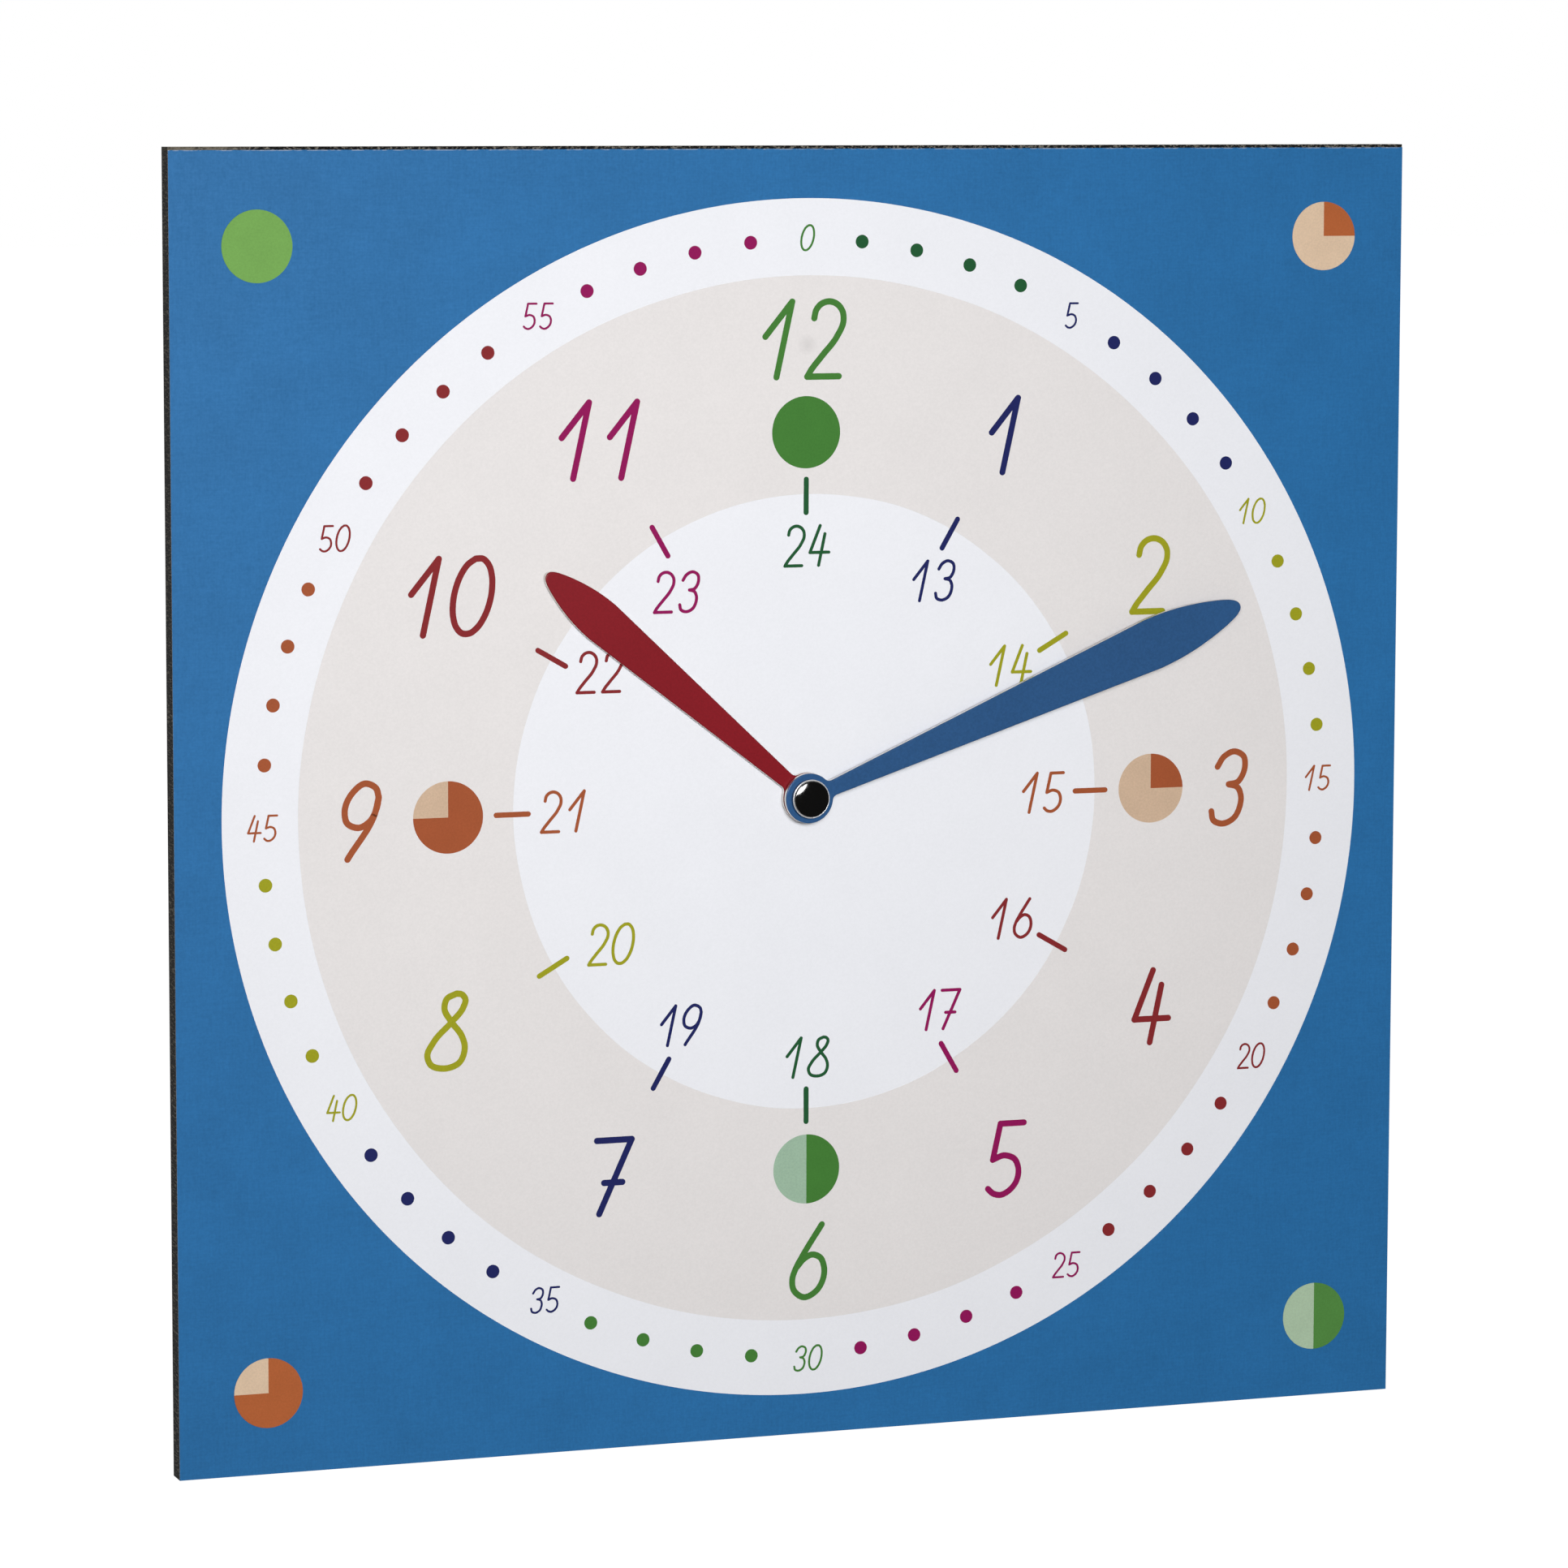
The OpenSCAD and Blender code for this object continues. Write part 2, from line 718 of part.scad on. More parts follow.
module hour_wheel() {
    color("#ece9e0") hung() {
        slab(hour_wheel_y) difference() {
            wheel(hour_teeth[1], hour_m, hour_wheel_phase);
            circle(minute_r + running);
        }
        slab([pipe_tip_y, hour_wheel_y[0]]) ring(pipe_r, minute_r + running);
    }
}

module minute_arbor() {
    bore = second_r + running;
    color("#c9ab5b") hung() {
        slab([spigot_tip_y, minute_hand_y[1]]) ring(spigot_r, bore);
        slab([minute_hand_y[1], cannon_y[0]]) ring(minute_r, bore);
        slab(cannon_y) difference() {
            pinion(motion_teeth[0], motion_m, cannon_phase);
            circle(bore);
        }
        slab([cannon_y[1], collar_y[1]]) ring(clutch_r, bore);
    }
}

// Dished washer that presses the centre wheel against the collar
module clutch_spring() {
    leaf = 0.15;
    inner = clutch_r + running;
    outer = 2 * minute_r;
    rise = spring_y[1] - spring_y[0] - leaf;
    color("#d6d6d0") hung() translate([0, spring_y[0], 0]) rotate([-90, 0, 0])
        rotate_extrude() polygon([[inner, 0], [outer, rise], [outer, rise + leaf], [inner, leaf]]);
}

module clutch_collar() {
    color("#c9ab5b") hung() slab(collar_y) ring(clutch_r + 1, clutch_r + pressed);
}

module centre_wheel() {
    color("#f0ede4") hung() slab(centre_y) difference() {
        wheel(centre_teeth[1], centre_m, centre_phase);
        circle(clutch_r + running);
    }
}

module minute_wheel() {
    bore = motion_post_r + running;
    color("#e3dfd2") hung() at(motion_pos) {
        slab([hour_wheel_y[0] - pinion_side, minute_wheel_y[0]]) difference() {
            pinion(hour_teeth[0], hour_m, minute_pinion_phase);
            circle(bore);
        }
        slab(minute_wheel_y) difference() {
            wheel(motion_teeth[1], motion_m, minute_wheel_phase);
            circle(bore);
        }
    }
}

module setting_arbor() {
    color("#d9d5c8") hung() at(setting_pos) {
        slab([setting_boss_y - pivot_depth, cannon_y[0]]) circle(setting_pivot_r);
        slab(cannon_y) pinion(setting_teeth, motion_m, setting_phase);
        slab([cannon_y[1], knob_y[1] - 0.6]) circle(setting_r);
    }
}

module setting_knob() {
    color("#303033") hung() at(setting_pos) difference() {
        slab(knob_y) difference() {
            circle(knob_r);
            for (i = [0 : knob_grooves - 1]) {
                translate(polar(knob_r, 360 * i / knob_grooves)) circle(knob_groove_r);
            }
        }
        slab([knob_y[0] - cut, knob_y[1] - 0.6 + pressed]) circle(setting_r + pressed);
        // Finger dish in the outer face
        translate([0, knob_y[1] + 3 * knob_r, 0]) sphere(3 * knob_r + 0.35);
    }
}

// Wheel of the going train: a wheel and a pinion on one thin arbor
module third_wheel() {
    color("#efe9da") hung() at(third_pos) {
        slab([third_boss_y - pivot_depth, centre_y[0] - pinion_side]) circle(arbor_r);
        slab(centre_y + [-pinion_side, pinion_side]) pinion(centre_teeth[0], centre_m, third_pinion_phase);
        slab([centre_y[1] + pinion_side, third_y[0]]) circle(2 * arbor_r);
        slab(third_y) wheel(third_teeth[1], third_m, third_phase);
        slab([third_y[1], bridge_y[1] - 0.2]) circle(arbor_r);
    }
}

module second_wheel() {
    color("#efe9da") hung() {
        slab([spigot_tip_y + 0.1, second_pinion_y[0]]) circle(second_r);
        slab(second_pinion_y) pinion(third_teeth[0], third_m, second_pinion_phase);
        slab([second_pinion_y[1], second_y[0]]) circle(2 * second_r);
        slab(second_y) wheel(second_teeth[1], second_m, second_phase);
        slab([second_y[1], bridge_y[1] - 0.2]) circle(second_r);
    }
}

module intermediate_wheel() {
    pinion_y = second_y + [-pinion_side, pinion_side];
    color("#efe9da") hung() at(inter_pos) {
        slab([inter_boss_y - pivot_depth, pinion_y[0]]) circle(arbor_r);
        slab(pinion_y) pinion(second_teeth[0], second_m, inter_pinion_phase);
        slab([pinion_y[1], inter_y[0]]) circle(2 * arbor_r);
        slab(inter_y) wheel(rotor_teeth[1], rotor_m, inter_phase);
        slab([inter_y[1], bridge_y[1] - 0.2]) circle(arbor_r);
    }
}

module rotor_pinion() {
    pinion_y = inter_y + [-pinion_side, pinion_side];
    color("#efe9da") hung() at(rotor_pos) {
        slab([rotor_boss_y - pivot_depth, pinion_y[0]]) circle(arbor_r);
        slab(pinion_y) pinion(rotor_teeth[0], rotor_m, rotor_phase);
        slab([pinion_y[1], bridge_y[1] - 0.2]) circle(arbor_r);
    }
}

module rotor_magnet() {
    color("#4a4a4e") hung() at(rotor_pos) slab(magnet_y) ring(magnet_r, arbor_r + pressed);
}

module stator() {
    x = [rotor_pos[0] - stator_bar / 2, coil_x + stator_bar / 2];
    color("#a9adb0") hung() slab(stator_y) difference() {
        union() {
            translate(rotor_pos) circle(stator_ring);
            panel([x[0], x[0] + stator_bar], stator_z);
            panel(x, [stator_z[0], stator_z[0] + stator_arm]);
            panel(x, [stator_z[1] - stator_arm, stator_z[1]]);
        }
        translate(rotor_pos) circle(magnet_r + magnet_air);
        // Two nicks that fix the rotor's resting direction
        for (a = [45, 225]) {
            translate(rotor_pos + polar(magnet_r + magnet_air, a)) circle(0.4);
        }
        for (z = coil_post_z) {
            translate([coil_x, z]) circle(screw_r + fit);
        }
    }
}

module coil_core() {
    color("#a9adb0") hung() slab(core_y) difference() {
        panel([coil_x - stator_bar / 2, coil_x + stator_bar / 2], stator_z);
        for (z = coil_post_z) {
            translate([coil_x, z]) circle(screw_r + fit);
        }
    }
}

// Round piece on the coil's upright axis, between two heights
module spool(z, r) {
    translate([coil_x, coil_axis_y, z[0]]) cylinder(r = r, h = z[1] - z[0]);
}

module coil_bobbin() {
    color("#e9e2cd") hung() difference() {
        union() {
            spool(bobbin_z, bobbin_r);
            spool([bobbin_z[0], bobbin_z[0] + bobbin_flange_t], bobbin_flange_r);
            spool([bobbin_z[1] - bobbin_flange_t, bobbin_z[1]], bobbin_flange_r);
        }
        translate([coil_x, coil_axis_y, (bobbin_z[0] + bobbin_z[1]) / 2])
            cube([stator_bar + 0.2, stator_t + 0.2, case_w], center = true);
    }
}

module coil_winding() {
    z = [bobbin_z[0] + bobbin_flange_t, bobbin_z[1] - bobbin_flange_t];
    color("#b5622c") hung() difference() {
        spool(z, winding_r);
        spool(z + [-cut, cut], bobbin_r + pressed);
    }
}

module coil_screws() {
    color("#c9c9c4") hung() for (z = coil_post_z) {
        at([coil_x, z]) screw(core_y[1], 2 * stator_t + screw_bite, screw_r, screw_head_r, screw_head_t);
    }
}

module circuit_board() {
    color("#2f6f4a") hung() slab(circuit_y) panel(circuit_x, circuit_z);
}

// Drop of resin over the clock chip
module chip_cover() {
    ball_r = (chip_r * chip_r + chip_h * chip_h) / (2 * chip_h);
    color("#141414") hung() at([chip_x, circuit_mid]) intersection() {
        translate([0, circuit_y[1] + chip_h - ball_r, 0]) sphere(ball_r);
        slab([circuit_y[1], circuit_y[1] + chip_h + cut]) circle(chip_r + cut);
    }
}

module quartz_crystal() {
    color("#c4c7c9") hung() translate([crystal_x[0], circuit_y[1] + crystal_r, circuit_mid])
        rotate([0, 90, 0]) cylinder(r = crystal_r, h = crystal_x[1] - crystal_x[0]);
}

// Strip from the battery bay to the circuit board: an upright in the bay, a tail and a soldered tab
module contact_strip(side, tab_x) {
    x = side > 0 ? contact_x : [-contact_x[1], -contact_x[0]];
    z = [cell_pos[1] - contact_w / 2, cell_pos[1] + contact_w / 2];
    slab([tail_y[0], cell_pos[0] + cell_r - cell_play]) panel(x, z);
    slab(tail_y) panel(x, [cell_pos[1], tail_z[1]]);
    slab([circuit_y[1], circuit_y[1] + contact_t]) panel(side > 0 ? [tab_x, x[1]] : [x[0], tab_x], tail_z);
}

module negative_contact() {
    bow_h = contact_x[0] - cell_len / 2 - touch + contact_t;
    bow_r = (contact_bow * contact_bow + bow_h * bow_h) / (2 * bow_h);
    color("#c8cac6") hung() {
        contact_strip(-1, circuit_x[0] + 1.5);
        // Bowed leaf that presses on the flat end of the cell
        translate([0, 0, cell_pos[1] - contact_w / 4]) linear_extrude(contact_w / 2) intersection() {
            translate([-cell_len / 2 - touch - bow_r, cell_pos[0]]) ring(bow_r, bow_r - contact_t);
            translate([-contact_x[1], cell_pos[0] - contact_bow]) square([bow_r, 2 * contact_bow]);
        }
    }
}

module positive_contact() {
    color("#c8cac6") hung() {
        contact_strip(1, circuit_x[1] - 1.5);
        // Dimple that meets the tip of the cell
        translate([cell_len / 2 + touch, cell_pos[0], cell_pos[1]]) rotate([0, 90, 0])
            cylinder(r = 2, h = contact_x[0] - cell_len / 2 - touch);
    }
}

// Round cell with its flat end at -X and its tip at +X
module battery_cell() {
    rim = 0.6;
    body_len = cell_len - tip_h;
    color("#3a4a56") hung() translate([-cell_len / 2, cell_pos[0], cell_pos[1]]) rotate([0, 90, 0])
        rotate_extrude() polygon([
            [0, 0], [cell_r - rim, 0], [cell_r, rim], [cell_r, body_len - rim], [cell_r - rim, body_len],
            [tip_r, body_len], [tip_r, cell_len], [0, cell_len]
        ]);
}

board();
dial_sheet();
hour_hand();
minute_hand();
cap_bezel();
cap_dome();
shaft_bush();
movement_case();
rear_cover();
hanger_clip();
mounting_screws();
train_bridge();
bridge_screws();
hour_wheel();
minute_arbor();
clutch_spring();
clutch_collar();
centre_wheel();
minute_wheel();
setting_arbor();
setting_knob();
third_wheel();
second_wheel();
intermediate_wheel();
rotor_pinion();
rotor_magnet();
stator();
coil_core();
coil_bobbin();
coil_winding();
coil_screws();
circuit_board();
chip_cover();
quartz_crystal();
negative_contact();
positive_contact();
battery_cell();
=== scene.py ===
# %% [markdown]
# # A teaching wall clock
# The clock is a square fibre board with a printed paper dial, two stamped hands and a small quartz
# movement behind it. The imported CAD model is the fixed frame: it holds the true sizes, the joints and
# every hidden wheel. This lesson adds what the eye sees, which is print, paint, bright edges and the
# grain of each finish.

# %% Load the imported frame
import json
import bmesh
import bpy
import numpy as np
from mathutils import Matrix, Vector


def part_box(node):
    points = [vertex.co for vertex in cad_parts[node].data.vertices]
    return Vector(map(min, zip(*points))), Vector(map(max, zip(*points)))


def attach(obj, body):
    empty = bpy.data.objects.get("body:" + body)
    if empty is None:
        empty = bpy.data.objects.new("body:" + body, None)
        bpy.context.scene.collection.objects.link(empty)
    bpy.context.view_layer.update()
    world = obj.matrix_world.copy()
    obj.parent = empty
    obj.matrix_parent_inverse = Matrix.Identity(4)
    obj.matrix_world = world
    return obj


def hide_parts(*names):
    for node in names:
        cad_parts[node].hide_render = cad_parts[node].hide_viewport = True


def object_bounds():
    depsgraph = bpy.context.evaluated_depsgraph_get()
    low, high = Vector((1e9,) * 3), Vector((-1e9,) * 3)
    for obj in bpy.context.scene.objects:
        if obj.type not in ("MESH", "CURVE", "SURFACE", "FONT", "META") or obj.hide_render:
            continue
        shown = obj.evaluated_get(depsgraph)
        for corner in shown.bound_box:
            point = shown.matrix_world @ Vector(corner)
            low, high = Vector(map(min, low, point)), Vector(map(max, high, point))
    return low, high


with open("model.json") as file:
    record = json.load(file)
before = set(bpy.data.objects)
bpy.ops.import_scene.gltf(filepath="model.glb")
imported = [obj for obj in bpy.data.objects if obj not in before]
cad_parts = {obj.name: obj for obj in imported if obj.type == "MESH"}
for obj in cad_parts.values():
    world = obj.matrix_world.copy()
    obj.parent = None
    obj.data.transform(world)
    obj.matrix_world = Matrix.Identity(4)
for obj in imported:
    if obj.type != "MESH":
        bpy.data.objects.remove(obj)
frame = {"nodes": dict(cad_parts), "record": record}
cad_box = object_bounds()
nodes = frame["nodes"]
bodies = frame["record"]["behaviour"]["bodies"]
body_of = {node: body for body, members in bodies.items() for node in members}
MM = 0.001
print("nodes:", len(nodes), "box:", [[round(c, 4) for c in corner] for corner in cad_box])

# %% [markdown]
# ## Where things are
# The origin is the hanger hole at the back, and +Y points into the wall, so the dial looks along -Y.
# The hands turn on the arbor, below the hanger. The print is centred a little lower than the arbor.
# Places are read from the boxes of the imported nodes, so each piece sits where the CAD says.

# %% Named places
dial_low, dial_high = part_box("dial_sheet")
cap_low, cap_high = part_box("cap_bezel")
dial_face = dial_low.y
arbor_z = (cap_low.z + cap_high.z) / 2
print_drop = 1.2 * MM
print_z = arbor_z - print_drop
print("dial face y", round(dial_face / MM, 3), "mm, arbor z", round(arbor_z / MM, 3), "mm")

# %% [markdown]
# ## The camera
# The photograph was taken from the left and a little above with a long lens. The four corners of the
# dial and its printed circles fix the spot, the aim and the focal length. The picture is square. A
# camera and a lamp both look along their own -Z axis, so one helper turns either of them towards its
# aim.

# %% Camera
camera_spot = Vector((-487.2, -1363.6, 131.8)) * MM
camera_aim = Vector((-5.25, -23.23, -32.25)) * MM
camera_lens = 142.46
sensor_width = 36
camera_roll = np.radians(0.125)


def in_scene(name, data):
    """An object that holds the data, linked to the scene."""
    made = bpy.data.objects.new(name, data)
    bpy.context.scene.collection.objects.link(made)
    return made


def looking(spot, aim, roll):
    """The matrix of a thing at the spot whose -Z axis points at the aim, rolled about that axis."""
    toward = (Vector(aim) - Vector(spot)).to_track_quat("-Z", "Y").to_matrix().to_4x4()
    return Matrix.Translation(spot) @ toward @ Matrix.Rotation(roll, 4, "Z")


camera_data = bpy.data.cameras.new("photo_camera")
camera_data.sensor_width = sensor_width
camera_data.lens = camera_lens
camera = in_scene("photo_camera", camera_data)
camera.matrix_world = looking(camera_spot, camera_aim, camera_roll)
bpy.context.scene.camera = camera
print("camera right", [round(c, 5) for c in camera.matrix_world.col[0][:3]])

# %% [markdown]
# ## Finishes as node trees
# Every material here is worked out from the place of a point on the object, so no picture is needed and
# the grain keeps its real size. A small class keeps the node code short: most methods add one node and
# hand back its output, and a plain number goes straight onto the shader's own socket.

# %% Colours and nodes
def srgb(red, green, blue):
    """The linear colour of a screen colour from 0 to 255: ((c + 0.055) / 1.055) ** 2.4 above a toe."""
    c = np.array([red, green, blue]) / 255
    return (*np.where(c <= 0.04045, c / 12.92, ((c + 0.055) / 1.055) ** 2.4).tolist(), 1.0)


def feed(tree, node, inputs):
    """Links each input to a socket, or writes a plain value on it."""
    for name, value in inputs.items():
        if isinstance(value, bpy.types.NodeSocket):
            tree.links.new(value, node.inputs[name])
        else:
            node.inputs[name].default_value = value


def add_node(tree, kind, inputs=None, **settings):
    """Adds a node to a tree, sets its options, and feeds its inputs."""
    node = tree.nodes.new(kind)
    for option, value in settings.items():
        setattr(node, option, value)
    feed(tree, node, inputs or {})
    return node


# %% A finish and its steps
NOISE_LOW, NOISE_HIGH = 0.3, 0.7


class Finish:
    """A Principled material whose patterns read Object coordinates, in metres."""

    def __init__(self, name, colour, roughness, **sockets):
        self.material = bpy.data.materials.new(name)
        self.material.use_nodes = True
        self.tree = self.material.node_tree
        self.shader = self.tree.nodes["Principled BSDF"]
        self.shade({"Base Color": colour, "Roughness": roughness, **sockets})
        self.coordinates = self.add("ShaderNodeTexCoord")
        self.place = self.coordinates.outputs["Object"]

    def add(self, kind, inputs=None, **settings):
        """Adds one node to this finish."""
        return add_node(self.tree, kind, inputs, **settings)

    def shade(self, inputs):
        """Feeds the shader's own sockets."""
        feed(self.tree, self.shader, inputs)

    def noise(self, size, stretch=(1, 1, 1), detail=3.0, shift=0.0):
        """Soft random grain from 0 to 1, with features of about size metres, drawn out by stretch."""
        scale = tuple(1 / (size * s) for s in stretch)
        moved = {"Vector": self.place, "Scale": scale, "Location": (shift,) * 3}
        spot = self.add("ShaderNodeMapping", moved).outputs[0]
        inputs = {"Vector": spot, "Scale": 1.0, "Detail": detail}
        return self.add("ShaderNodeTexNoise", inputs).outputs["Fac"]

    def math(self, step, a, b=0.0):
        """One step of arithmetic on a and b, such as ADD or MAXIMUM."""
        return self.add("ShaderNodeMath", {0: a, 1: b}, operation=step).outputs[0]

    def ramp(self, value, low, high, start=0.0, end=1.0):
        """Maps low..high of a value to start..end and holds it there."""
        inputs = {"Value": value, "From Min": low, "From Max": high, "To Min": start, "To Max": end}
        return self.add("ShaderNodeMapRange", inputs).outputs[0]

    def vary(self, grain, start=0.0, end=1.0):
        """Maps the range in which most of a grain lies to start..end."""
        return self.ramp(grain, NOISE_LOW, NOISE_HIGH, start, end)

    def mix(self, factor, a, b):
        """Colour a where the factor is 0 and b where it is 1. The node's colours are sockets 6 and 7."""
        return self.add("ShaderNodeMix", {0: factor, 6: a, 7: b}, data_type="RGBA").outputs[2]

    def scaled(self, colour, value):
        """A colour times a value that changes from place to place."""
        inputs = {0: colour[:3], "Scale": value}
        return self.add("ShaderNodeVectorMath", inputs, operation="SCALE").outputs[0]

    def distance(self, point):
        """How far each place is from a point, in metres."""
        inputs = {0: self.place, 1: point}
        return self.add("ShaderNodeVectorMath", inputs, operation="DISTANCE").outputs["Value"]

    def part_of(self, vector, axis):
        """One part, X, Y or Z, of a vector."""
        return self.add("ShaderNodeSeparateXYZ", {0: vector}).outputs[axis]

    def facing(self, axis):
        """How squarely the surface faces along an axis of the clock: 1 straight on, 0 edge on."""
        return self.math("ABSOLUTE", self.part_of(self.coordinates.outputs["Normal"], axis))

    def colour(self, value):
        """Sets the base colour."""
        self.shade({"Base Color": value})

    def rough(self, value):
        """Sets the roughness."""
        self.shade({"Roughness": value})

    def bump(self, height, depth, strength):
        """Raises the surface by height times depth metres, for its shading only."""
        inputs = {"Height": height, "Distance": depth, "Strength": strength}
        self.shade({"Normal": self.add("ShaderNodeBump", inputs).outputs[0]})


# %% [markdown]
# ## Studio
# The dial is lit almost from the front, which is why the hands throw such short shadows. A slanted
# strip lamp just above the axis of the dial shows as the bright patch on the cap. A rounder lamp beside
# it is kept out of mirrors. A nearer one on the left gives about half of the light and makes that side
# of the dial a little brighter, and one lamp behind lights the back. Rays from the camera see white,
# and mirrored rays see white behind the clock and a dim room in front, as in a studio with a white
# backdrop. The floor lies below the hung clock and keeps its shadow.

# %% Lamps
def area_lamp(name, spot, width, height, watts, roll=0.0):
    """A flat oval lamp of a size in metres, facing the dial and rolled in its own plane."""
    data = bpy.data.lights.new(name, "AREA")
    data.shape = "ELLIPSE"
    data.size = width
    data.size_y = height
    data.energy = watts
    lamp = in_scene(name, data)
    lamp.matrix_world = looking(spot, dial_middle, roll)
    print(name, watts, "W at", [round(c, 2) for c in spot])
    return lamp


dial_middle = Vector((0, dial_face, arbor_z))
front_distance, back_distance = 1.3, 1.8
strip_spot = dial_middle + Vector((0.035, -0.979, 0.188)).normalized() * front_distance
front_spot = dial_middle + Vector((0.01, -0.977, 0.213)).normalized() * front_distance
near_spot = dial_middle + Vector((-0.15, -0.60, 0.15))
back_spot = dial_middle + Vector((0.45, 0.75, 0.50)).normalized() * back_distance
area_lamp("strip_softbox", strip_spot, width=0.55, height=0.20, watts=2.6, roll=np.radians(45))
front_lamp = area_lamp("front_softbox", front_spot, width=0.30, height=0.30, watts=4.2)
front_lamp.visible_glossy = False
near_lamp = area_lamp("near_softbox", near_spot, width=0.28, height=0.28, watts=2.1)
near_lamp.visible_camera = False
area_lamp("back_softbox", back_spot, width=1.0, height=0.8, watts=22)
bpy.context.scene.view_settings.view_transform = "Standard"

# %% World
world = bpy.data.worlds.new("studio")
world.use_nodes = True
bpy.context.scene.world = world
sky = world.node_tree
room_front = 0.03
ambient = 0.10

ray = add_node(sky, "ShaderNodeLightPath").outputs
direction = add_node(sky, "ShaderNodeTexCoord").outputs["Generated"]
toward_wall = add_node(sky, "ShaderNodeSeparateXYZ", {0: direction}).outputs["Y"]
front_to_back = {"Value": toward_wall, "From Min": -0.5, "From Max": 0.3,
                 "To Min": room_front, "To Max": 1.0}
room = add_node(sky, "ShaderNodeMapRange", front_to_back).outputs[0]
either = {0: ray["Is Glossy Ray"], 1: ray["Is Transmission Ray"]}
mirrored = add_node(sky, "ShaderNodeMath", either, operation="MAXIMUM").outputs[0]
light = add_node(sky, "ShaderNodeMix", {0: mirrored, 2: ambient, 3: room}).outputs[0]
seen = add_node(sky, "ShaderNodeMix", {0: ray["Is Camera Ray"], 2: light, 3: 1.0}).outputs[0]
feed(sky, sky.nodes["Background"], {"Color": (1, 1, 1, 1), "Strength": seen})
print("world: ambient", ambient, "and a room of", room_front, "in mirrors")

# %% Floor
floor_drop = 0.6
floor_reach = 30
floor_z = cad_box[0][2] - floor_drop
corners = [(-floor_reach, -floor_reach), (floor_reach, -floor_reach), (floor_reach, floor_reach),
           (-floor_reach, floor_reach)]
floor_mesh = bpy.data.meshes.new("floor")
floor_mesh.from_pydata([(x, y, floor_z) for x, y in corners], [], [(0, 1, 2, 3)])
floor = in_scene("floor", floor_mesh)

floor_white, floor_glow = (0.75, 0.75, 0.75, 1), 0.95
pale = Finish("pale_floor", (0.5, 0.5, 0.5, 1), 0.9)
ray = pale.add("ShaderNodeLightPath").outputs
diffuse = pale.add("ShaderNodeBsdfDiffuse", {"Color": floor_white}).outputs[0]
glow = pale.add("ShaderNodeEmission", {"Strength": floor_glow}).outputs[0]
white = pale.add("ShaderNodeAddShader", {0: diffuse, 1: glow}).outputs[0]
behind = pale.ramp(pale.part_of(pale.place, "Y"), 0.0, 0.6, room_front, 1.0)
mirror = pale.add("ShaderNodeEmission", {"Strength": behind}).outputs[0]
shaded = pale.shader.outputs[0]
plain = pale.add("ShaderNodeMixShader", {0: ray["Is Glossy Ray"], 1: shaded, 2: mirror}).outputs[0]
look = pale.add("ShaderNodeMixShader", {0: ray["Is Camera Ray"], 1: plain, 2: white}).outputs[0]
feed(pale.tree, pale.tree.nodes["Material Output"], {"Surface": look})
floor_mesh.materials.append(pale.material)
print("floor at z", round(floor_z, 3))

# %% [markdown]
# ## Pieces from grids
# A print, a hand or a cap is a sheet of points on two parameters. One helper turns a stack of such
# grids into a single mesh, welds its seams and poles so that it is closed, and sends it to the body
# that it moves with.

# %% A mesh from a stack of grids
weld = 0.0003 * MM


def piece(name, grids, body, material, smooth_angle=35):
    """Joins k grids of n by m points. Points (i, j), (i, j+1), (i+1, j+1), (i+1, j) make a quad, and j
    closes on itself. The ends i = 0 and i = n - 1 are welded where they meet or shrink to a point."""
    grids = np.asarray(grids, float)
    k, n, m, _ = grids.shape
    index = np.arange(k * n * m).reshape(k, n, m)
    beside = np.roll(index, -1, axis=2)
    quads = np.stack([index[:, :-1], beside[:, :-1], beside[:, 1:], index[:, 1:]], axis=-1).reshape(-1, 4)
    mesh = bpy.data.meshes.new(name)
    mesh.from_pydata(grids.reshape(-1, 3), [], quads)
    work = bmesh.new()
    work.from_mesh(mesh)
    bmesh.ops.remove_doubles(work, verts=work.verts, dist=weld)
    bmesh.ops.recalc_face_normals(work, faces=work.faces)
    work.to_mesh(mesh)
    work.free()
    mesh.polygons.foreach_set("use_smooth", np.ones(len(mesh.polygons), bool))
    mesh.set_sharp_from_angle(angle=np.radians(smooth_angle))
    mesh.materials.append(material)
    made = in_scene(name, mesh)
    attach(made, body)
    print(f"{name}: {len(mesh.polygons)} faces")
    return made


def dress(material, *names):
    """Gives CAD nodes their finish in every slot, and leaves their meshes as packed."""
    for name in names:
        for slot in nodes[name].material_slots:
            slot.material = material
    print(material.name, "on", ", ".join(names))


# %% [markdown]
# ## Paper
# The dial is offset print on satin paper glued over the board. Seen close, the colour is not even: fine
# threads run up and across the blue ground, and soft blotches lie between them. A picture of paper
# would do, but noise keeps its scale over the whole dial. The same recipe serves the white circle and
# the warm grey ring, with less of a weave. The cut edge shows the white core, and a rubbed mark lies
# between the digits of the twelve.

# %% Printed paper
paper_roughness = 0.55
roughness_swing = 0.06
thread_width, thread_stretch = 0.35 * MM, 10
tooth_size, blotch_size, tear_size = 0.55 * MM, 14 * MM, 1.6 * MM
fray_depth, fray_share = 0.3 * MM, 0.4
smudge_core, smudge_reach, smudge_shade = 0.4 * MM, 2.6 * MM, 0.87
white_core = srgb(225, 225, 226)


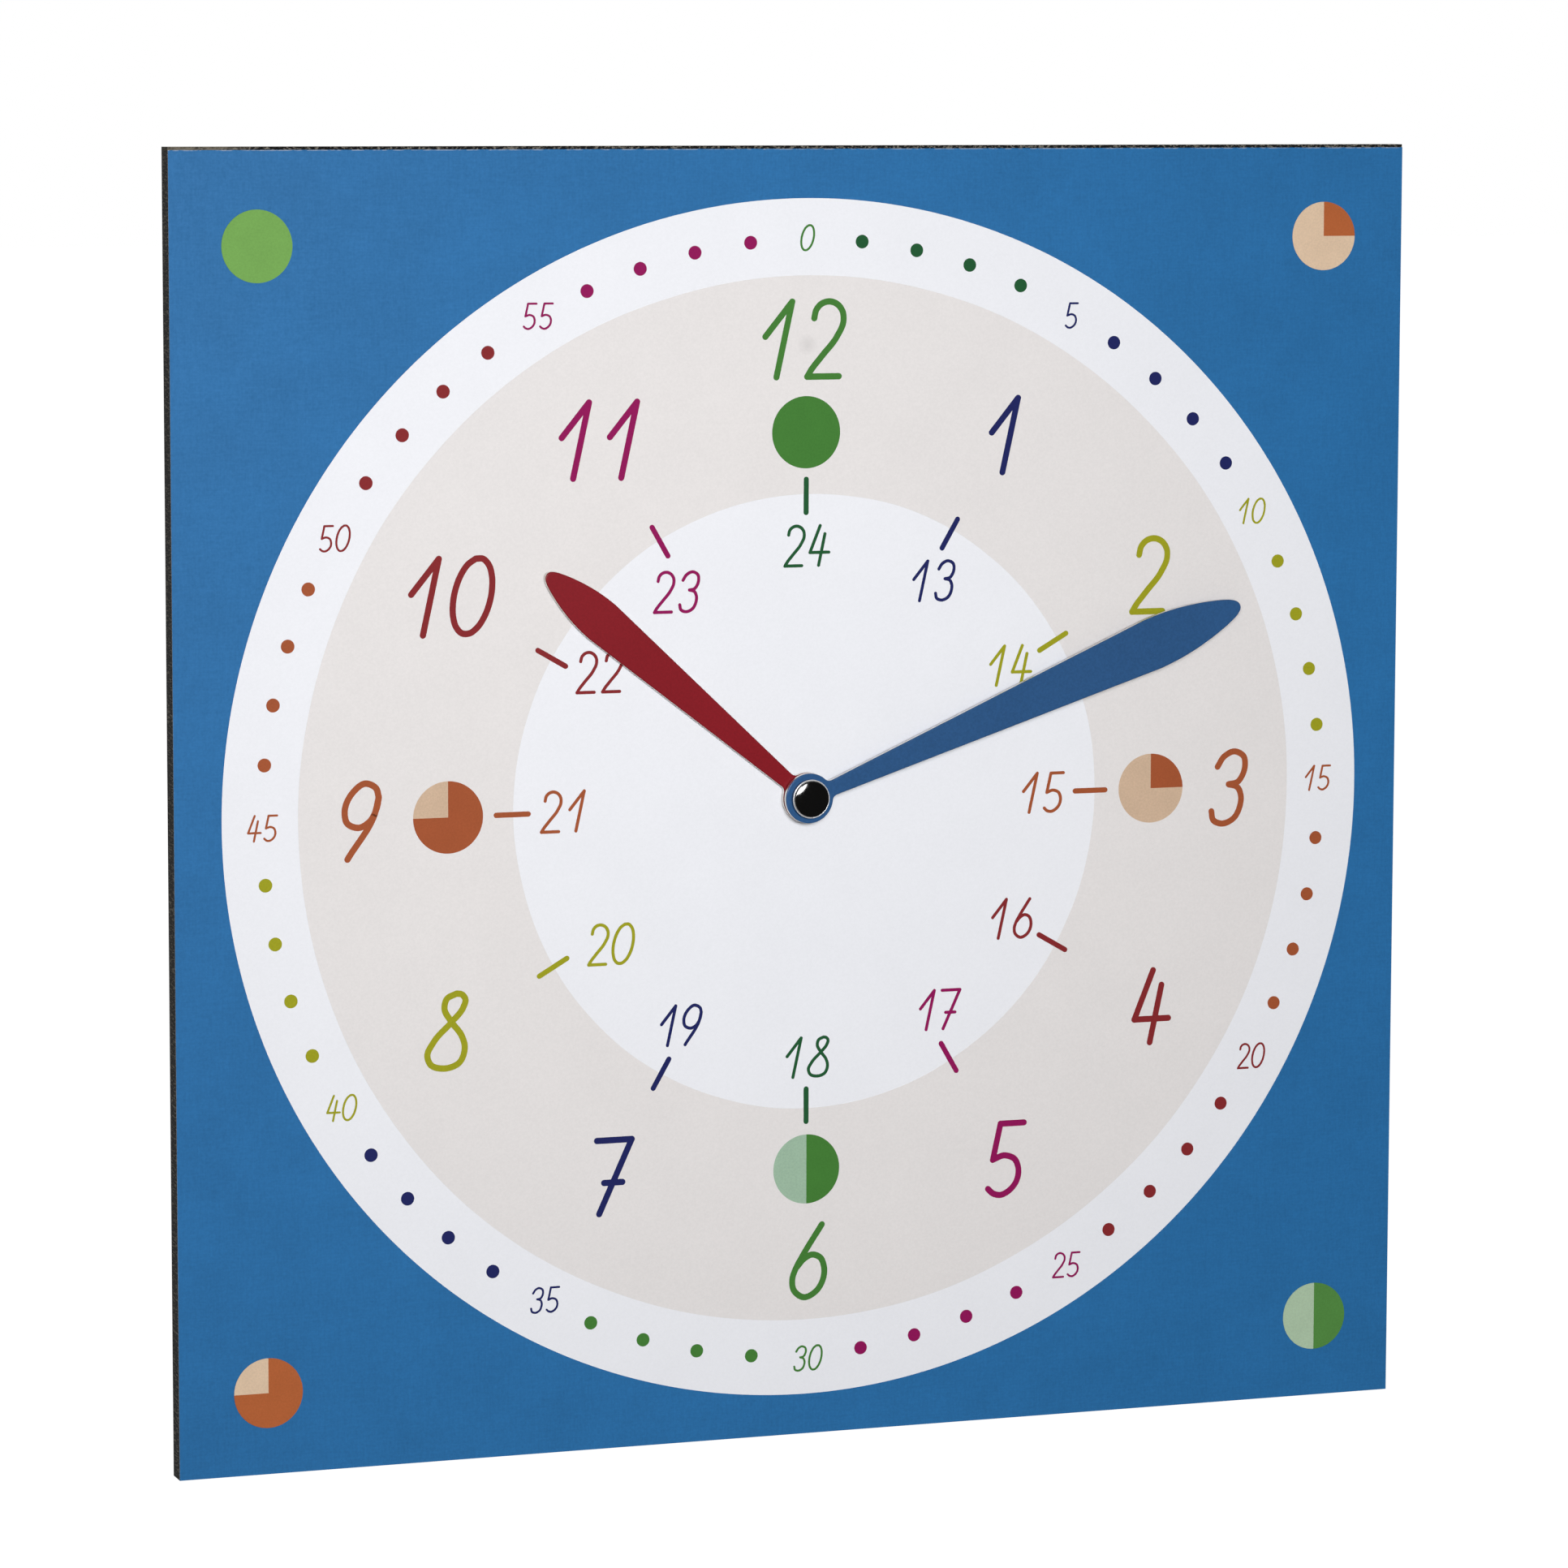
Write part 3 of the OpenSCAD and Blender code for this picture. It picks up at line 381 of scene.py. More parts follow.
def printed_paper(name, colour, fine, blotch, woven, smudge=None):
    """Colour times 1 +- fine +- blotch, where fine is the grain and blotch the slow unevenness of the
    ink. The share woven of the grain is threads, and the rest is the tooth of the paper. The white core
    shows on the cut sides and in places along the top edge. A smudge darkens it by 13% at a point,
    fading out within 2.6 mm."""
    sheet = Finish(name, colour, paper_roughness, **{"Specular IOR Level": 0.18})
    upright = sheet.noise(thread_width, stretch=(1, 1, thread_stretch))
    across = sheet.noise(thread_width, stretch=(thread_stretch, 1, 1), shift=3.0)
    tooth = sheet.noise(tooth_size, detail=2.0, shift=7.0)
    slow = sheet.noise(blotch_size, detail=4.0, shift=11.0)
    weave = sheet.math("MULTIPLY", sheet.math("ADD", upright, across), woven / 2)
    grain = sheet.math("ADD", weave, sheet.math("MULTIPLY", tooth, 1 - woven))
    value = sheet.math("ADD", sheet.vary(grain, 1 - fine, 1 + fine), sheet.vary(slow, -blotch, blotch))
    if smudge:
        mark = sheet.ramp(sheet.distance(smudge), smudge_core, smudge_reach, smudge_shade, 1.0)
        value = sheet.math("MULTIPLY", value, mark)
    cut = sheet.ramp(sheet.facing("Y"), 0.3, 0.6, 1.0, 0.0)
    torn = sheet.ramp(sheet.noise(tear_size, detail=2.0, shift=9.0), 0.42, 0.6)
    height = sheet.part_of(sheet.place, "Z")
    near_top = sheet.ramp(height, dial_high.z - fray_depth, dial_high.z, 0.0, fray_share)
    frayed = sheet.math("MULTIPLY", near_top, torn)
    sheet.colour(sheet.mix(sheet.math("MAXIMUM", cut, frayed), sheet.scaled(colour, value), white_core))
    sheet.rough(sheet.vary(grain, paper_roughness + roughness_swing, paper_roughness - roughness_swing))
    sheet.bump(grain, 0.02 * MM, 0.35)
    return sheet.material


rubbed_mark = (0.2 * MM, dial_face, arbor_z + 104.6 * MM)
blue, white, grey = srgb(39, 107, 163), srgb(236, 237, 242), srgb(227, 223, 222)
blue_paper = printed_paper("blue_paper", blue, fine=0.12, blotch=0.04, woven=0.55)
white_paper = printed_paper("white_paper", white, fine=0.016, blotch=0.008, woven=0.1)
grey_paper = printed_paper("warm_grey_paper", grey, fine=0.026, blotch=0.010, woven=0.1,
                           smudge=rubbed_mark)
dress(blue_paper, "dial_sheet")

# %% [markdown]
# ## The circles of the dial
# The white circle and the warm grey ring are films of ink. They could be painted into the material of
# the sheet, but a film has an edge that stays crisp from any distance. Each is a ring between two
# closed lines, swept once round, with a top a few hundredths of a millimetre up. The edges of the grey
# ring waver by about a tenth of a millimetre, and its inner edge is printed a little to the right, as
# plates that are set one after another never meet exactly.

# %% A ring as a film
white_top = 0.03 * MM
grey_top = 0.06 * MM
ink_top = 0.09 * MM
sunk = 0.01 * MM
film_edge = 0.02 * MM


def circle(radius, angle, centre):
    """Points (right, up) about a centre, at a radius that may change with the angle from the top."""
    return np.stack([centre[0] + radius * np.sin(angle), centre[1] + radius * np.cos(angle)], axis=-1)


def wavering(radius, angle, seed):
    """radius plus a sum of sines a sin(k angle + phase), as a hand-cut edge wavers."""
    counts = np.array([3, 7, 13, 23])
    swings = np.array([0.09, 0.06, 0.04, 0.02]) * MM
    phases = np.random.default_rng(seed).uniform(0, 2 * np.pi, len(counts))
    return radius + (swings * np.sin(np.outer(angle, counts) + phases)).sum(axis=1)


def ring_film(name, inner, outer, bottom, top, material):
    """A flat film between two closed lines: inner foot, inner rim, outer rim, outer foot."""
    outward = (outer - inner) / np.linalg.norm(outer - inner, axis=1, keepdims=True)
    lines = np.stack([inner, inner + film_edge * outward, outer - film_edge * outward, outer], axis=1)
    depth = np.broadcast_to(dial_face - np.array([bottom, top, top, bottom]), lines.shape[:2])
    grid = np.stack([lines[..., 0], depth, lines[..., 1]], axis=-1)
    piece(name, grid[None], "clock_body", material)


# %% White circle and grey ring
around = np.linspace(0, 2 * np.pi, 721)
arbor_hole, white_radius = 5.2 * MM, 139.3 * MM
grey_inner_radius, grey_outer_radius = 71.55 * MM, 121.64 * MM
white_centre = (0.25 * MM, print_z - 0.05 * MM)
grey_outer_centre = (0.3 * MM, print_z - 0.1 * MM)
grey_inner_centre = (0.9 * MM, print_z)

white_inner = circle(arbor_hole, around, (0, arbor_z))
white_outer = circle(white_radius, around, white_centre)
ring_film("dial_white_circle", white_inner, white_outer, -sunk, white_top, white_paper)
grey_inner = circle(wavering(grey_inner_radius, around, seed=5), around, grey_inner_centre)
grey_outer = circle(wavering(grey_outer_radius, around, seed=8), around, grey_outer_centre)
ring_film("dial_grey_ring", grey_inner, grey_outer, white_top - sunk, grey_top, grey_paper)

# %% [markdown]
# ## Inks
# Each ink is one printing plate: everything printed with it becomes one piece, so that a scene can
# recolour it at once. Ink takes the tooth of the paper, so a trace of grain goes through it.

# %% Ink finishes
def ink(name, colour):
    """Flat print whose strength varies by a few percent with the grain of the paper under it."""
    plate = Finish(name, colour, 0.5, **{"Specular IOR Level": 0.07})
    grain = plate.noise(0.45 * MM)
    slow = plate.noise(6 * MM, shift=4.0)
    value = plate.math("ADD", plate.vary(grain, 0.94, 1.06), plate.vary(slow, -0.03, 0.03))
    plate.colour(plate.scaled(colour, value))
    plate.bump(grain, 0.02 * MM, 0.3)
    return plate.material


INK_COLOURS = {
    "bottle_green": (35, 87, 51),
    "leaf_green": (68, 124, 54),
    "mid_green": (83, 137, 67),
    "grass_green": (114, 163, 82),
    "mint": (157, 186, 162),
    "pale_mint": (173, 197, 168),
    "navy": (33, 38, 93),
    "olive": (156, 156, 34),
    "rust": (161, 84, 51),
    "orange": (177, 97, 55),
    "sand": (204, 176, 150),
    "pale_sand": (219, 192, 164),
    "red": (133, 42, 45),
    "plum": (143, 22, 87),
}
HOUR_INKS = ["leaf_green", "navy", "olive", "rust", "red", "plum"]
DAY_INKS = ["bottle_green"] + HOUR_INKS[1:]
inks = {name: ink(name + "_ink", srgb(*colour)) for name, colour in INK_COLOURS.items()}
plates = {name: [] for name in inks}
print("inks:", ", ".join(inks))

# %% [markdown]
# ## Pen strokes
# The numerals are school handwriting: one round pen of even width. A font would be quicker, but here
# each stroke is a smooth line through a few points, carried by a flat profile whose half width shrinks
# as a half circle at both ends. The film climbs a hair along the stroke, so where a loop crosses itself
# no two faces lie in one plane.

# %% A pen line as a film
PEN_SAMPLES = 97
END_SAMPLES = 7
FLAT_SHARE = 0.97
stroke_climb = 0.008 * MM


def smooth_line(points):
    """Cubic spans through the points, read evenly, with each slope taken from the neighbours."""
    points = np.asarray(points, float)
    along = np.concatenate([[0], np.cumsum(np.linalg.norm(np.diff(points, axis=0), axis=1))])
    slope = np.gradient(points, along, axis=0)
    read = np.linspace(0, along[-1], PEN_SAMPLES)
    i = np.clip(np.searchsorted(along, read, "right") - 1, 0, len(along) - 2)
    span = (along[i + 1] - along[i])[:, None]
    s = (read - along[i])[:, None] / span
    ends = (1 + 2 * s) * (1 - s) ** 2 * points[i] + s**2 * (3 - 2 * s) * points[i + 1]
    return ends + s * (1 - s) ** 2 * span * slope[i] + s**2 * (s - 1) * span * slope[i + 1]


def pen_film(line, half_width, lift):
    """The line widened by half_width, with half-circle ends: at turn t an end point moves out by cos t
    and its width is sin t. Four points across: foot, rim, rim, foot. lift raises the film."""
    ahead = np.gradient(line, axis=0)
    ahead /= np.linalg.norm(ahead, axis=1, keepdims=True)
    t = np.linspace(0, np.pi / 2, END_SAMPLES + 1)[:-1]
    out = half_width * np.cos(t)[:, None]
    path = np.vstack([line[0] - out * ahead[0], line, line[-1] + out[::-1] * ahead[-1]])
    first, last = np.repeat(ahead[:1], END_SAMPLES, 0), np.repeat(ahead[-1:], END_SAMPLES, 0)
    ahead = np.vstack([first, ahead, last])
    width = half_width * np.concatenate([np.sin(t), np.ones(len(line)), np.sin(t[::-1])])
    side = np.stack([-ahead[:, 1], ahead[:, 0]], axis=1)
    across = np.array([-1.0, -FLAT_SHARE, FLAT_SHARE, 1.0])
    flat = path[:, None] + side[:, None] * width[:, None, None] * across[:, None]
    climb = np.linspace(0, stroke_climb, len(path))[:, None] + lift
    height = np.where(np.abs(across) < 1, ink_top + climb, white_top - sunk)
    return np.stack([flat[..., 0], dial_face - height, flat[..., 1]], axis=-1)


# %% [markdown]
# ## Ten digits
# The points are millimetres for a digit 17.2 mm tall, with its left end at 0 and its foot at 0.
# Straight strokes need two points, round ones follow an oval or a few points more, and the nought is an
# oval that leans by about 11 degrees.

# %% Digits
DIGIT_HEIGHT = 17.2
NOUGHT_LEAN = 0.188


def oval(cx, cy, rx, ry, start, end, count=7):
    """Points of an oval from one angle to another, in degrees, counted anticlockwise from the right."""
    t = np.radians(np.linspace(start, end, count))
    return list(zip(cx + rx * np.cos(t), cy + ry * np.sin(t)))


def leaning(points, lean):
    """The points moved right by lean times their height."""
    return [(x + lean * y, y) for x, y in points]


DIGITS = {
    "0": [leaning(oval(4.5, 8.6, 4.4, 8.6, 100, 460, 17), NOUGHT_LEAN)],
    "1": [[(0, 9.3), (6.5, 17.2)],
          [(6.5, 17.2), (2.7, 0)]],
    "2": [oval(5.3, 13.4, 3.6, 3.8, 180, -10) + [(7.3, 9.2), (3.5, 4.6), (0.8, 1.3), (0, 0)],
          [(0, 0), (7.7, 0)]],
    "3": [[(1.5, 13.6), (3.1, 15.9), (5.9, 17.1), (8.3, 15.7), (8.6, 13.9), (8, 11.5), (6.7, 9.8),
           (4.4, 9.3)],
          [(4.4, 9.3), (6.6, 8.6), (7.6, 6.4), (7.4, 4.2), (5.8, 1.2), (2.5, 0), (0.5, 0.9), (0, 3)]],
    "4": [[(4.7, 17.2), (0, 5.6)],
          [(0, 5.6), (8.7, 5.6)],
          [(6.9, 13.6), (4, 0)]],
    "5": [[(9, 17), (3.1, 17)],
          [(3.1, 17), (1.2, 8.5)],
          [(1.2, 8.5), (4.1, 9.4), (6.8, 8.3), (7.7, 5.9), (7.1, 2.9), (5.3, 0.9), (3.2, 0), (1.2, 0.5),
           (0, 1.6)]],
    "6": [[(7.4, 17), (2.5, 9.6), (0.9, 6.8), (0.1, 4.4), (0.5, 1.8), (3, 0), (5.8, 1.1), (7.7, 3.9),
           (8, 6.8), (7, 9.2), (5, 10), (3, 9.1), (1.3, 7.3)]],
    "7": [[(0, 17.1), (8.4, 17.1)],
          [(8.4, 17.1), (0.5, 0)],
          [(1.7, 7.2), (6.1, 7.2)]],
    "8": [[(7, 17.1), (4.7, 16), (4.1, 13.9), (5.8, 10.6), (8.2, 7.3), (8.9, 4.8), (7.6, 1.2), (4.1, 0),
           (0.7, 1.1), (0, 3), (1.6, 6.3), (5.8, 10.6), (8.6, 13.9), (9.1, 15.7), (8.2, 16.9), (7, 17.1)]],
    "9": [[(8, 13.8), (7.4, 15.9), (5, 17.1), (1.8, 15), (0, 10.8), (0.5, 8.3), (3.2, 7.1), (5.8, 8.4),
           (7.5, 11.4), (8, 13.8)],
          [(8, 14), (7.2, 10.6), (0.6, 0)]],
}
print("strokes in each digit:", {digit: len(strokes) for digit, strokes in DIGITS.items()})

# %% [markdown]
# ## Three rings of numbers
# Hours stand on the grey ring, the afternoon hours inside it and the minutes outside. A short tick
# across the inner edge of the ring stands between each hour and its afternoon hour. On the real dial
# the numbers don't stand exactly at their clock positions, so each has a place or a small nudge of its
# own, in millimetres.

# %% A number on its plate
DIGIT_STEP = 11.5
BEARING = {"1": 1.3, "0": -1.9, "5": -0.3, "8": -0.3}
NUMERAL_RISE = 0.1
stroke_lift = 0.004 * MM


def numeral(text, centre, height, pen, ink_name):
    """The strokes of a number, its box centred on a point of the dial in mm, added to the plate of its
    ink. A digit stands one step after the last, moved by its bearing, and each stroke lies a hair above
    the last."""
    lines = [smooth_line(stroke) + (DIGIT_STEP * place + BEARING.get(digit, 0), 0)
             for place, digit in enumerate(text) for stroke in DIGITS[digit]]
    every = np.vstack(lines)
    middle = (every.min(axis=0) + every.max(axis=0)) / 2
    for count, line in enumerate(lines):
        spot = ((line - middle) * height / DIGIT_HEIGHT + centre + (0, NUMERAL_RISE)) * MM + (0, print_z)
        plates[ink_name].append(pen_film(spot, pen / 2 * MM, count * stroke_lift))


def clock_point(radius, position):
    """Right and up, in the units of the radius, of one of twelve clock positions."""
    return radius * np.array([np.sin(np.radians(30 * position)), np.cos(np.radians(30 * position))])


# %% Hours, day hours, minutes and ticks
HOUR_SPOTS = [(-0.5, 106.9), (49.1, 84.0), (86.0, 50.5), (106.7, -0.6), (87.4, -52.1), (50.5, -86.7),
              (1.0, -108.0), (-46.6, -85.2), (-86.8, -49.3), (-106.5, -0.4), (-85.1, 49.9), (-50.0, 84.6)]
DAY_NUDGES = [(0.2, 0), (1.9, -0.9), (-0.5, 0.5), (0, 0), (0.2, 0.2), (4.0, 1.2),
              (0.7, -0.4), (-0.6, 0.7), (4.1, -1.4), (0.5, 0), (1.4, 2.0), (-1.8, -1.9)]
MINUTE_NUDGES = [(0.2, 0.1), (0.7, -1.0), (-0.4, 0), (0, 0.9), (0.8, -0.3), (1.1, -0.4),
                 (1.0, -1.0), (1.6, -0.4), (1.0, -0.6), (0.4, -1.1), (0.2, -1.3), (0.5, 0.3)]
TICK_NUDGES = [(0, 0), (0, 0), (0, 0), (0.25, 0.12), (0.35, 0), (0.4, 0),
               (0.36, 0), (0.23, -0.22), (0.18, -0.19), (0, -0.15), (0, -0.2), (0, -0.2)]
HOUR_HEIGHT, DAY_HEIGHT, MINUTE_HEIGHT = 17.2, 9.15, 5.75
HOUR_PEN, DAY_PEN, MINUTE_PEN, TICK_PEN = 1.51, 0.75, 0.49, 1.26
DAY_RADIUS, MINUTE_RADIUS = 59.4, 130
TICK_START, TICK_END = 67.2, 74.8
for hour in range(12):
    hour_ink = HOUR_INKS[hour % 6]
    day_ink = DAY_INKS[hour % 6]
    day_spot = clock_point(DAY_RADIUS, hour) + DAY_NUDGES[hour]
    minute_spot = clock_point(MINUTE_RADIUS, hour) + MINUTE_NUDGES[hour]
    numeral(str(hour or 12), HOUR_SPOTS[hour], HOUR_HEIGHT, HOUR_PEN, hour_ink)
    numeral(str(hour + 12 if hour else 24), day_spot, DAY_HEIGHT, DAY_PEN, day_ink)
    numeral(str(5 * hour), minute_spot, MINUTE_HEIGHT, MINUTE_PEN, hour_ink)
    tick = np.linspace(clock_point(TICK_START, hour), clock_point(TICK_END, hour), PEN_SAMPLES)
    spot = (tick + TICK_NUDGES[hour]) * MM + (0, print_z)
    plates[day_ink].append(pen_film(spot, TICK_PEN / 2 * MM, 0))
print("pen films:", sum(len(films) for films in plates.values()))

# %% [markdown]
# ## Dots and pies
# The minutes between the fives are dots. The pies at the quarters, and again in the corners, show how
# much of the hour has gone. A slice is a fan of film swept about its middle, and a dot is a slice that
# goes all the way round. Both have as many points as a pen stroke, so they go onto the same printing
# plates.

# %% Dots
# In mm, with the turn in degrees.
DOT_RADIUS = 1.58
DOT_TURN = -0.13
DOT_CENTRE = (0.23, -0.1)
DOT_EDGE = 0.02


def dot_film(centre, radius, lift=0.0, start=0.0, end=360.0):
    """A fan about a centre, in mm, from one angle to another, clockwise from the top: rows at the
    middle, rim and foot, closed underneath. The end rows of a slice drop to its foot, which closes its
    straight sides. It has as many points as a pen film, so both fit one stack."""
    rows = PEN_SAMPLES + 2 * END_SAMPLES
    angle = np.radians(np.concatenate([[start], np.linspace(start, end, rows - 2), [end]]))[:, None]
    reach = np.tile([0.0, radius - DOT_EDGE, radius, 0.0], (rows, 1))
    height = np.tile([ink_top + lift, ink_top + lift, -sunk, -sunk], (rows, 1))
    if end - start < 360:
        reach[[0, -1], 1] = radius
        height[[0, -1]] = -sunk
    flat_x = centre[0] + reach * np.sin(angle)
    flat_z = centre[1] + reach * np.cos(angle)
    return np.stack([flat_x * MM, dial_face - height, flat_z * MM + print_z], axis=-1)


for minute in range(60):
    if minute % 5:
        group = minute // 5
        ink_name = "bottle_green" if group == 0 else HOUR_INKS[group % 6]
        spot = circle(MINUTE_RADIUS, np.radians(6 * minute + DOT_TURN), DOT_CENTRE)
        plates[ink_name].append(dot_film(spot, DOT_RADIUS))

# %% Pies
# Each row has the centre and radius in mm, the ink of the ground, and the ink and end in degrees of the
# slice.
PIES = [
    ((-0.05, 85.65), 8.33, "leaf_green", None, 0),
    ((86.7, 0.08), 8.2, "sand", "rust", 90),
    ((0.45, -86.05), 8.17, "mint", "leaf_green", 180),
    ((-86.2, -0.2), 8.28, "sand", "rust", 270),
    ((-129.9, 129.2), 8.17, "grass_green", None, 0),
    ((129.8, 129.7), 8.05, "pale_sand", "orange", 90),
    ((-129.2, -130.05), 8.05, "pale_sand", "orange", 270),
    ((130.6, -129.5), 8.08, "pale_mint", "mid_green", 180),
]
slice_lift = 0.02 * MM
for centre, radius, ground, slice_ink, end in PIES:
    plates[ground].append(dot_film(centre, radius))
    if slice_ink:
        plates[slice_ink].append(dot_film(centre, radius, slice_lift, 0, end))

for name, films in plates.items():
    piece("print_" + name, films, "clock_body", inks[name])

# %% [markdown]
# ## Hands
# Each hand is stamped from thin sheet, painted on both faces, and left bright on its cut edge. A hub
# circle, a straight taper and a rounded tip make the outline. A curve with a bevel could give the body,
# but here the section is carried round the outline, which sets each part of it: a hole for the arbor, a
# flat face and a small round where the paint rolls over the edge, which catches the light.

# %% Hand outline
LEAF = 0.44


def hand_outline(length, wide_at, wide, neck=3.4, hub=5.85, fillet=1.5):
    """Closed line of (right, along) in metres, from sizes in mm. The tip has half width wide/2 cos(t)
    ** p at wide_at + (length - wide_at) sin t, where p falls from 1 + LEAF to 1 as sin(t) ** 4 rises,
    so it is a leaf with a round end. The taper runs straight towards the neck, an arc of the fillet
    radius touches both taper and hub, and the hub is a circle."""
    t = np.linspace(np.pi / 2, 0, 40)
    power = 1 + LEAF - LEAF * np.sin(t) ** 4
    tip = np.stack([wide / 2 * np.cos(t) ** power, wide_at + (length - wide_at) * np.sin(t)], axis=1)
    tilt = np.arctan((wide - neck) / 2 / (wide_at - hub / 2))
    across = np.array([np.cos(tilt), -np.sin(tilt)])
    along = np.array([np.sin(tilt), np.cos(tilt)])
    aside = across @ (neck / 2, hub / 2) + fillet
    centre = aside * across + np.sqrt((hub + fillet) ** 2 - aside**2) * along
    taper = np.linspace(tip[-1], centre - fillet * across, 30)[1:-1]
    swing = np.linspace(np.pi - tilt, np.pi + np.arctan2(centre[1], centre[0]), 10)
    corner = centre + fillet * np.stack([np.cos(swing), np.sin(swing)], axis=1)
    turn = np.linspace(np.arctan2(centre[0], centre[1]), np.pi, 40)[1:]
    round_hub = hub * np.stack([np.sin(turn), np.cos(turn)], axis=1)
    right = np.vstack([tip, taper, corner, round_hub])
    left = right[-2:0:-1] * (-1, 1)
    return np.vstack([right, left, right[:1]]) * MM


# %% Hand body
rolled_edge = 0.35 * MM
flat_margin = 1.4 * rolled_edge


def hand(name, node, hole, angle, outline, material):
    """From a hole outwards to the outline, set in by 1 - sin a and set back by 1 - cos a at its round."""
    low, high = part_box(node)
    ahead = np.roll(outline[:-1], -1, axis=0) - np.roll(outline[:-1], 1, axis=0)
    ahead = np.vstack([ahead, ahead[:1]])
    ahead /= np.linalg.norm(ahead, axis=1, keepdims=True)
    outward = np.stack([-ahead[:, 1], ahead[:, 0]], axis=1)
    outward *= np.sign((outward * outline).sum())
    a = np.linspace(0, np.pi / 2, 9)
    inset = np.concatenate([[flat_margin], rolled_edge * (1 - np.sin(a)), [0.0]])
    depth = np.concatenate([[high.y, low.y, low.y], low.y + rolled_edge * (1 - np.cos(a)), [high.y]])
    rim = outline[:, None] - outward[:, None] * inset[:, None]
    bore = hole * outline / np.linalg.norm(outline, axis=1, keepdims=True)
    flat = np.concatenate([bore[:, None], bore[:, None], rim], axis=1)
    x = flat[..., 0] * np.cos(angle) + flat[..., 1] * np.sin(angle)
    z = -flat[..., 0] * np.sin(angle) + flat[..., 1] * np.cos(angle) + arbor_z
    grid = np.stack([x, np.broadcast_to(depth, x.shape), z], axis=-1)
    made = piece(name, grid[None], body_of[node], material, smooth_angle=50)
    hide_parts(node)


# %% [markdown]
# ## Paint of the hands
# The paint is a thin satin lacquer. It stops where the sheet was cut, so the finish looks at which way
# the surface faces: the front and back carry paint, and the cut edge is bare aluminium with fine drawn
# lines. On the small round between them the paint dries in a thicker and glossier bead.

# %% Lacquer with bare edges
def lacquer(name, colour):
    """Paint where the face looks along Y, bare metal on the cut edge, and a faint ripple."""
    coat = Finish(name, colour, 0.3, **{"Specular IOR Level": 0.16, "Coat Roughness": 0.1})
    ripple = coat.noise(1.2 * MM, detail=2.0)
    speck = coat.noise(0.5 * MM, detail=2.0, shift=5.0)
    slow = coat.noise(18 * MM, shift=9.0)
    value = coat.math("ADD", coat.vary(speck, 0.92, 1.08), coat.vary(slow, -0.04, 0.04))
    painted = coat.ramp(coat.facing("Y"), 0.42, 0.52)
    bare = coat.mix(coat.noise(0.2 * MM, stretch=(1, 8, 1)), srgb(196, 192, 184), srgb(240, 238, 232))
    coat.colour(coat.mix(painted, bare, coat.scaled(colour, value)))
    coat.rough(coat.ramp(painted, 0, 1, 0.3, 0.38))
    bead = coat.math("MULTIPLY", painted, coat.ramp(coat.facing("Y"), 0.9, 0.99, 1.0, 0.0))
    coat.shade({"Metallic": coat.math("SUBTRACT", 1.0, painted), "Coat Weight": bead})
    coat.bump(ripple, 0.01 * MM, 0.25)
    return coat.material


# %% Both hands
hour_angle, minute_angle = np.radians(310.3), np.radians(68.8)
hour_bore, minute_bore = 2.51 * MM, 1.41 * MM
hour_outline = hand_outline(length=82.6, wide_at=65, wide=10)
minute_outline = hand_outline(length=116, wide_at=92, wide=12.4)
red_lacquer = lacquer("red_lacquer", srgb(131, 22, 32))
blue_lacquer = lacquer("blue_lacquer", srgb(44, 84, 130))
hand("hour_hand_painted", "hour_hand", hour_bore, hour_angle, hour_outline, red_lacquer)
hand("minute_hand_painted", "minute_hand", minute_bore, minute_angle, minute_outline, blue_lacquer)

# %% [markdown]
# ## Centre cap
# A small chromed cup holds a black polished dome and presses the minute hand home. Both are turned
# shapes: a profile of radius and depth, swept round the arbor. The dome is a shallow part of a ball
# that turns down to the rim over a small round shoulder, so black fills the rim. The wall of the cup is
# a dark mirror for the hub of the hand. Its colour is painted darker than the lip, as painted shade for
# the shadow that the cap casts there, and its rounded lip is brighter.

# %% Turned pieces
def turned(name, profile, middle, along, body, material, sides=96):
    """A profile of (radius, place) in metres swept round a line through the middle, along X or along Y,
    where the place is measured. A radius of 0 closes a pole."""
    radius, place = np.asarray(profile, float).T[..., None]
    turn = np.linspace(0, 2 * np.pi, sides + 1)[:-1]
    wide = radius * np.cos(turn)
    high = middle.z + radius * np.sin(turn)
    place = np.broadcast_to(place, wide.shape)
    grid = {"X": (place, middle.y + wide, high), "Y": (middle.x + wide, place, high)}[along]
    return piece(name, np.stack(grid, axis=-1)[None], body, material)


def rounding(radius, y, size, start, end, count=6):
    """Points (radius, y) of a round about a centre, from one angle to another in degrees."""
    t = np.radians(np.linspace(start, end, count))
    return list(zip(radius + size * np.cos(t), y + size * np.sin(t)))


# %% Chromed cup
dome_low, dome_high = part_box("cap_dome")
dome_radius = dome_high.x
rim_outer, rim_inner = 4.5 * MM, dome_radius - 0.02 * MM
foot = 0.12 * MM
lip = (rim_outer - rim_inner) / 2
# The wall's colour is painted shade: it is darker than the lip to stand for the shadow of the cap.
painted_shade_wall_colour, lip_colour = (0.3, 0.3, 0.32, 1), (0.9, 0.9, 0.91, 1)
chrome = Finish("bright_chrome", lip_colour, 0.3, Metallic=0.6)
on_lip = chrome.ramp(chrome.facing("Y"), 0.15, 0.5)
brushed = chrome.vary(chrome.noise(0.6 * MM), 0.1, 0.2)
chrome.rough(chrome.math("ADD", brushed, chrome.math("MULTIPLY", on_lip, 0.15)))
chrome.shade({"Metallic": chrome.ramp(on_lip, 0.0, 1.0, 1.0, 0.6)})
chrome.colour(chrome.mix(on_lip, painted_shade_wall_colour, lip_colour))
cup_profile = [
    (0, cap_high.y),
    (rim_outer - foot, cap_high.y),
    *rounding(rim_outer - foot, cap_high.y - foot, foot, 90, 0),
    *rounding(rim_outer - lip, cap_low.y + lip, lip, 0, -180, 12),
    (rim_inner, dome_high.y),
    (0, dome_high.y),
]
cup_body = body_of["cap_bezel"]
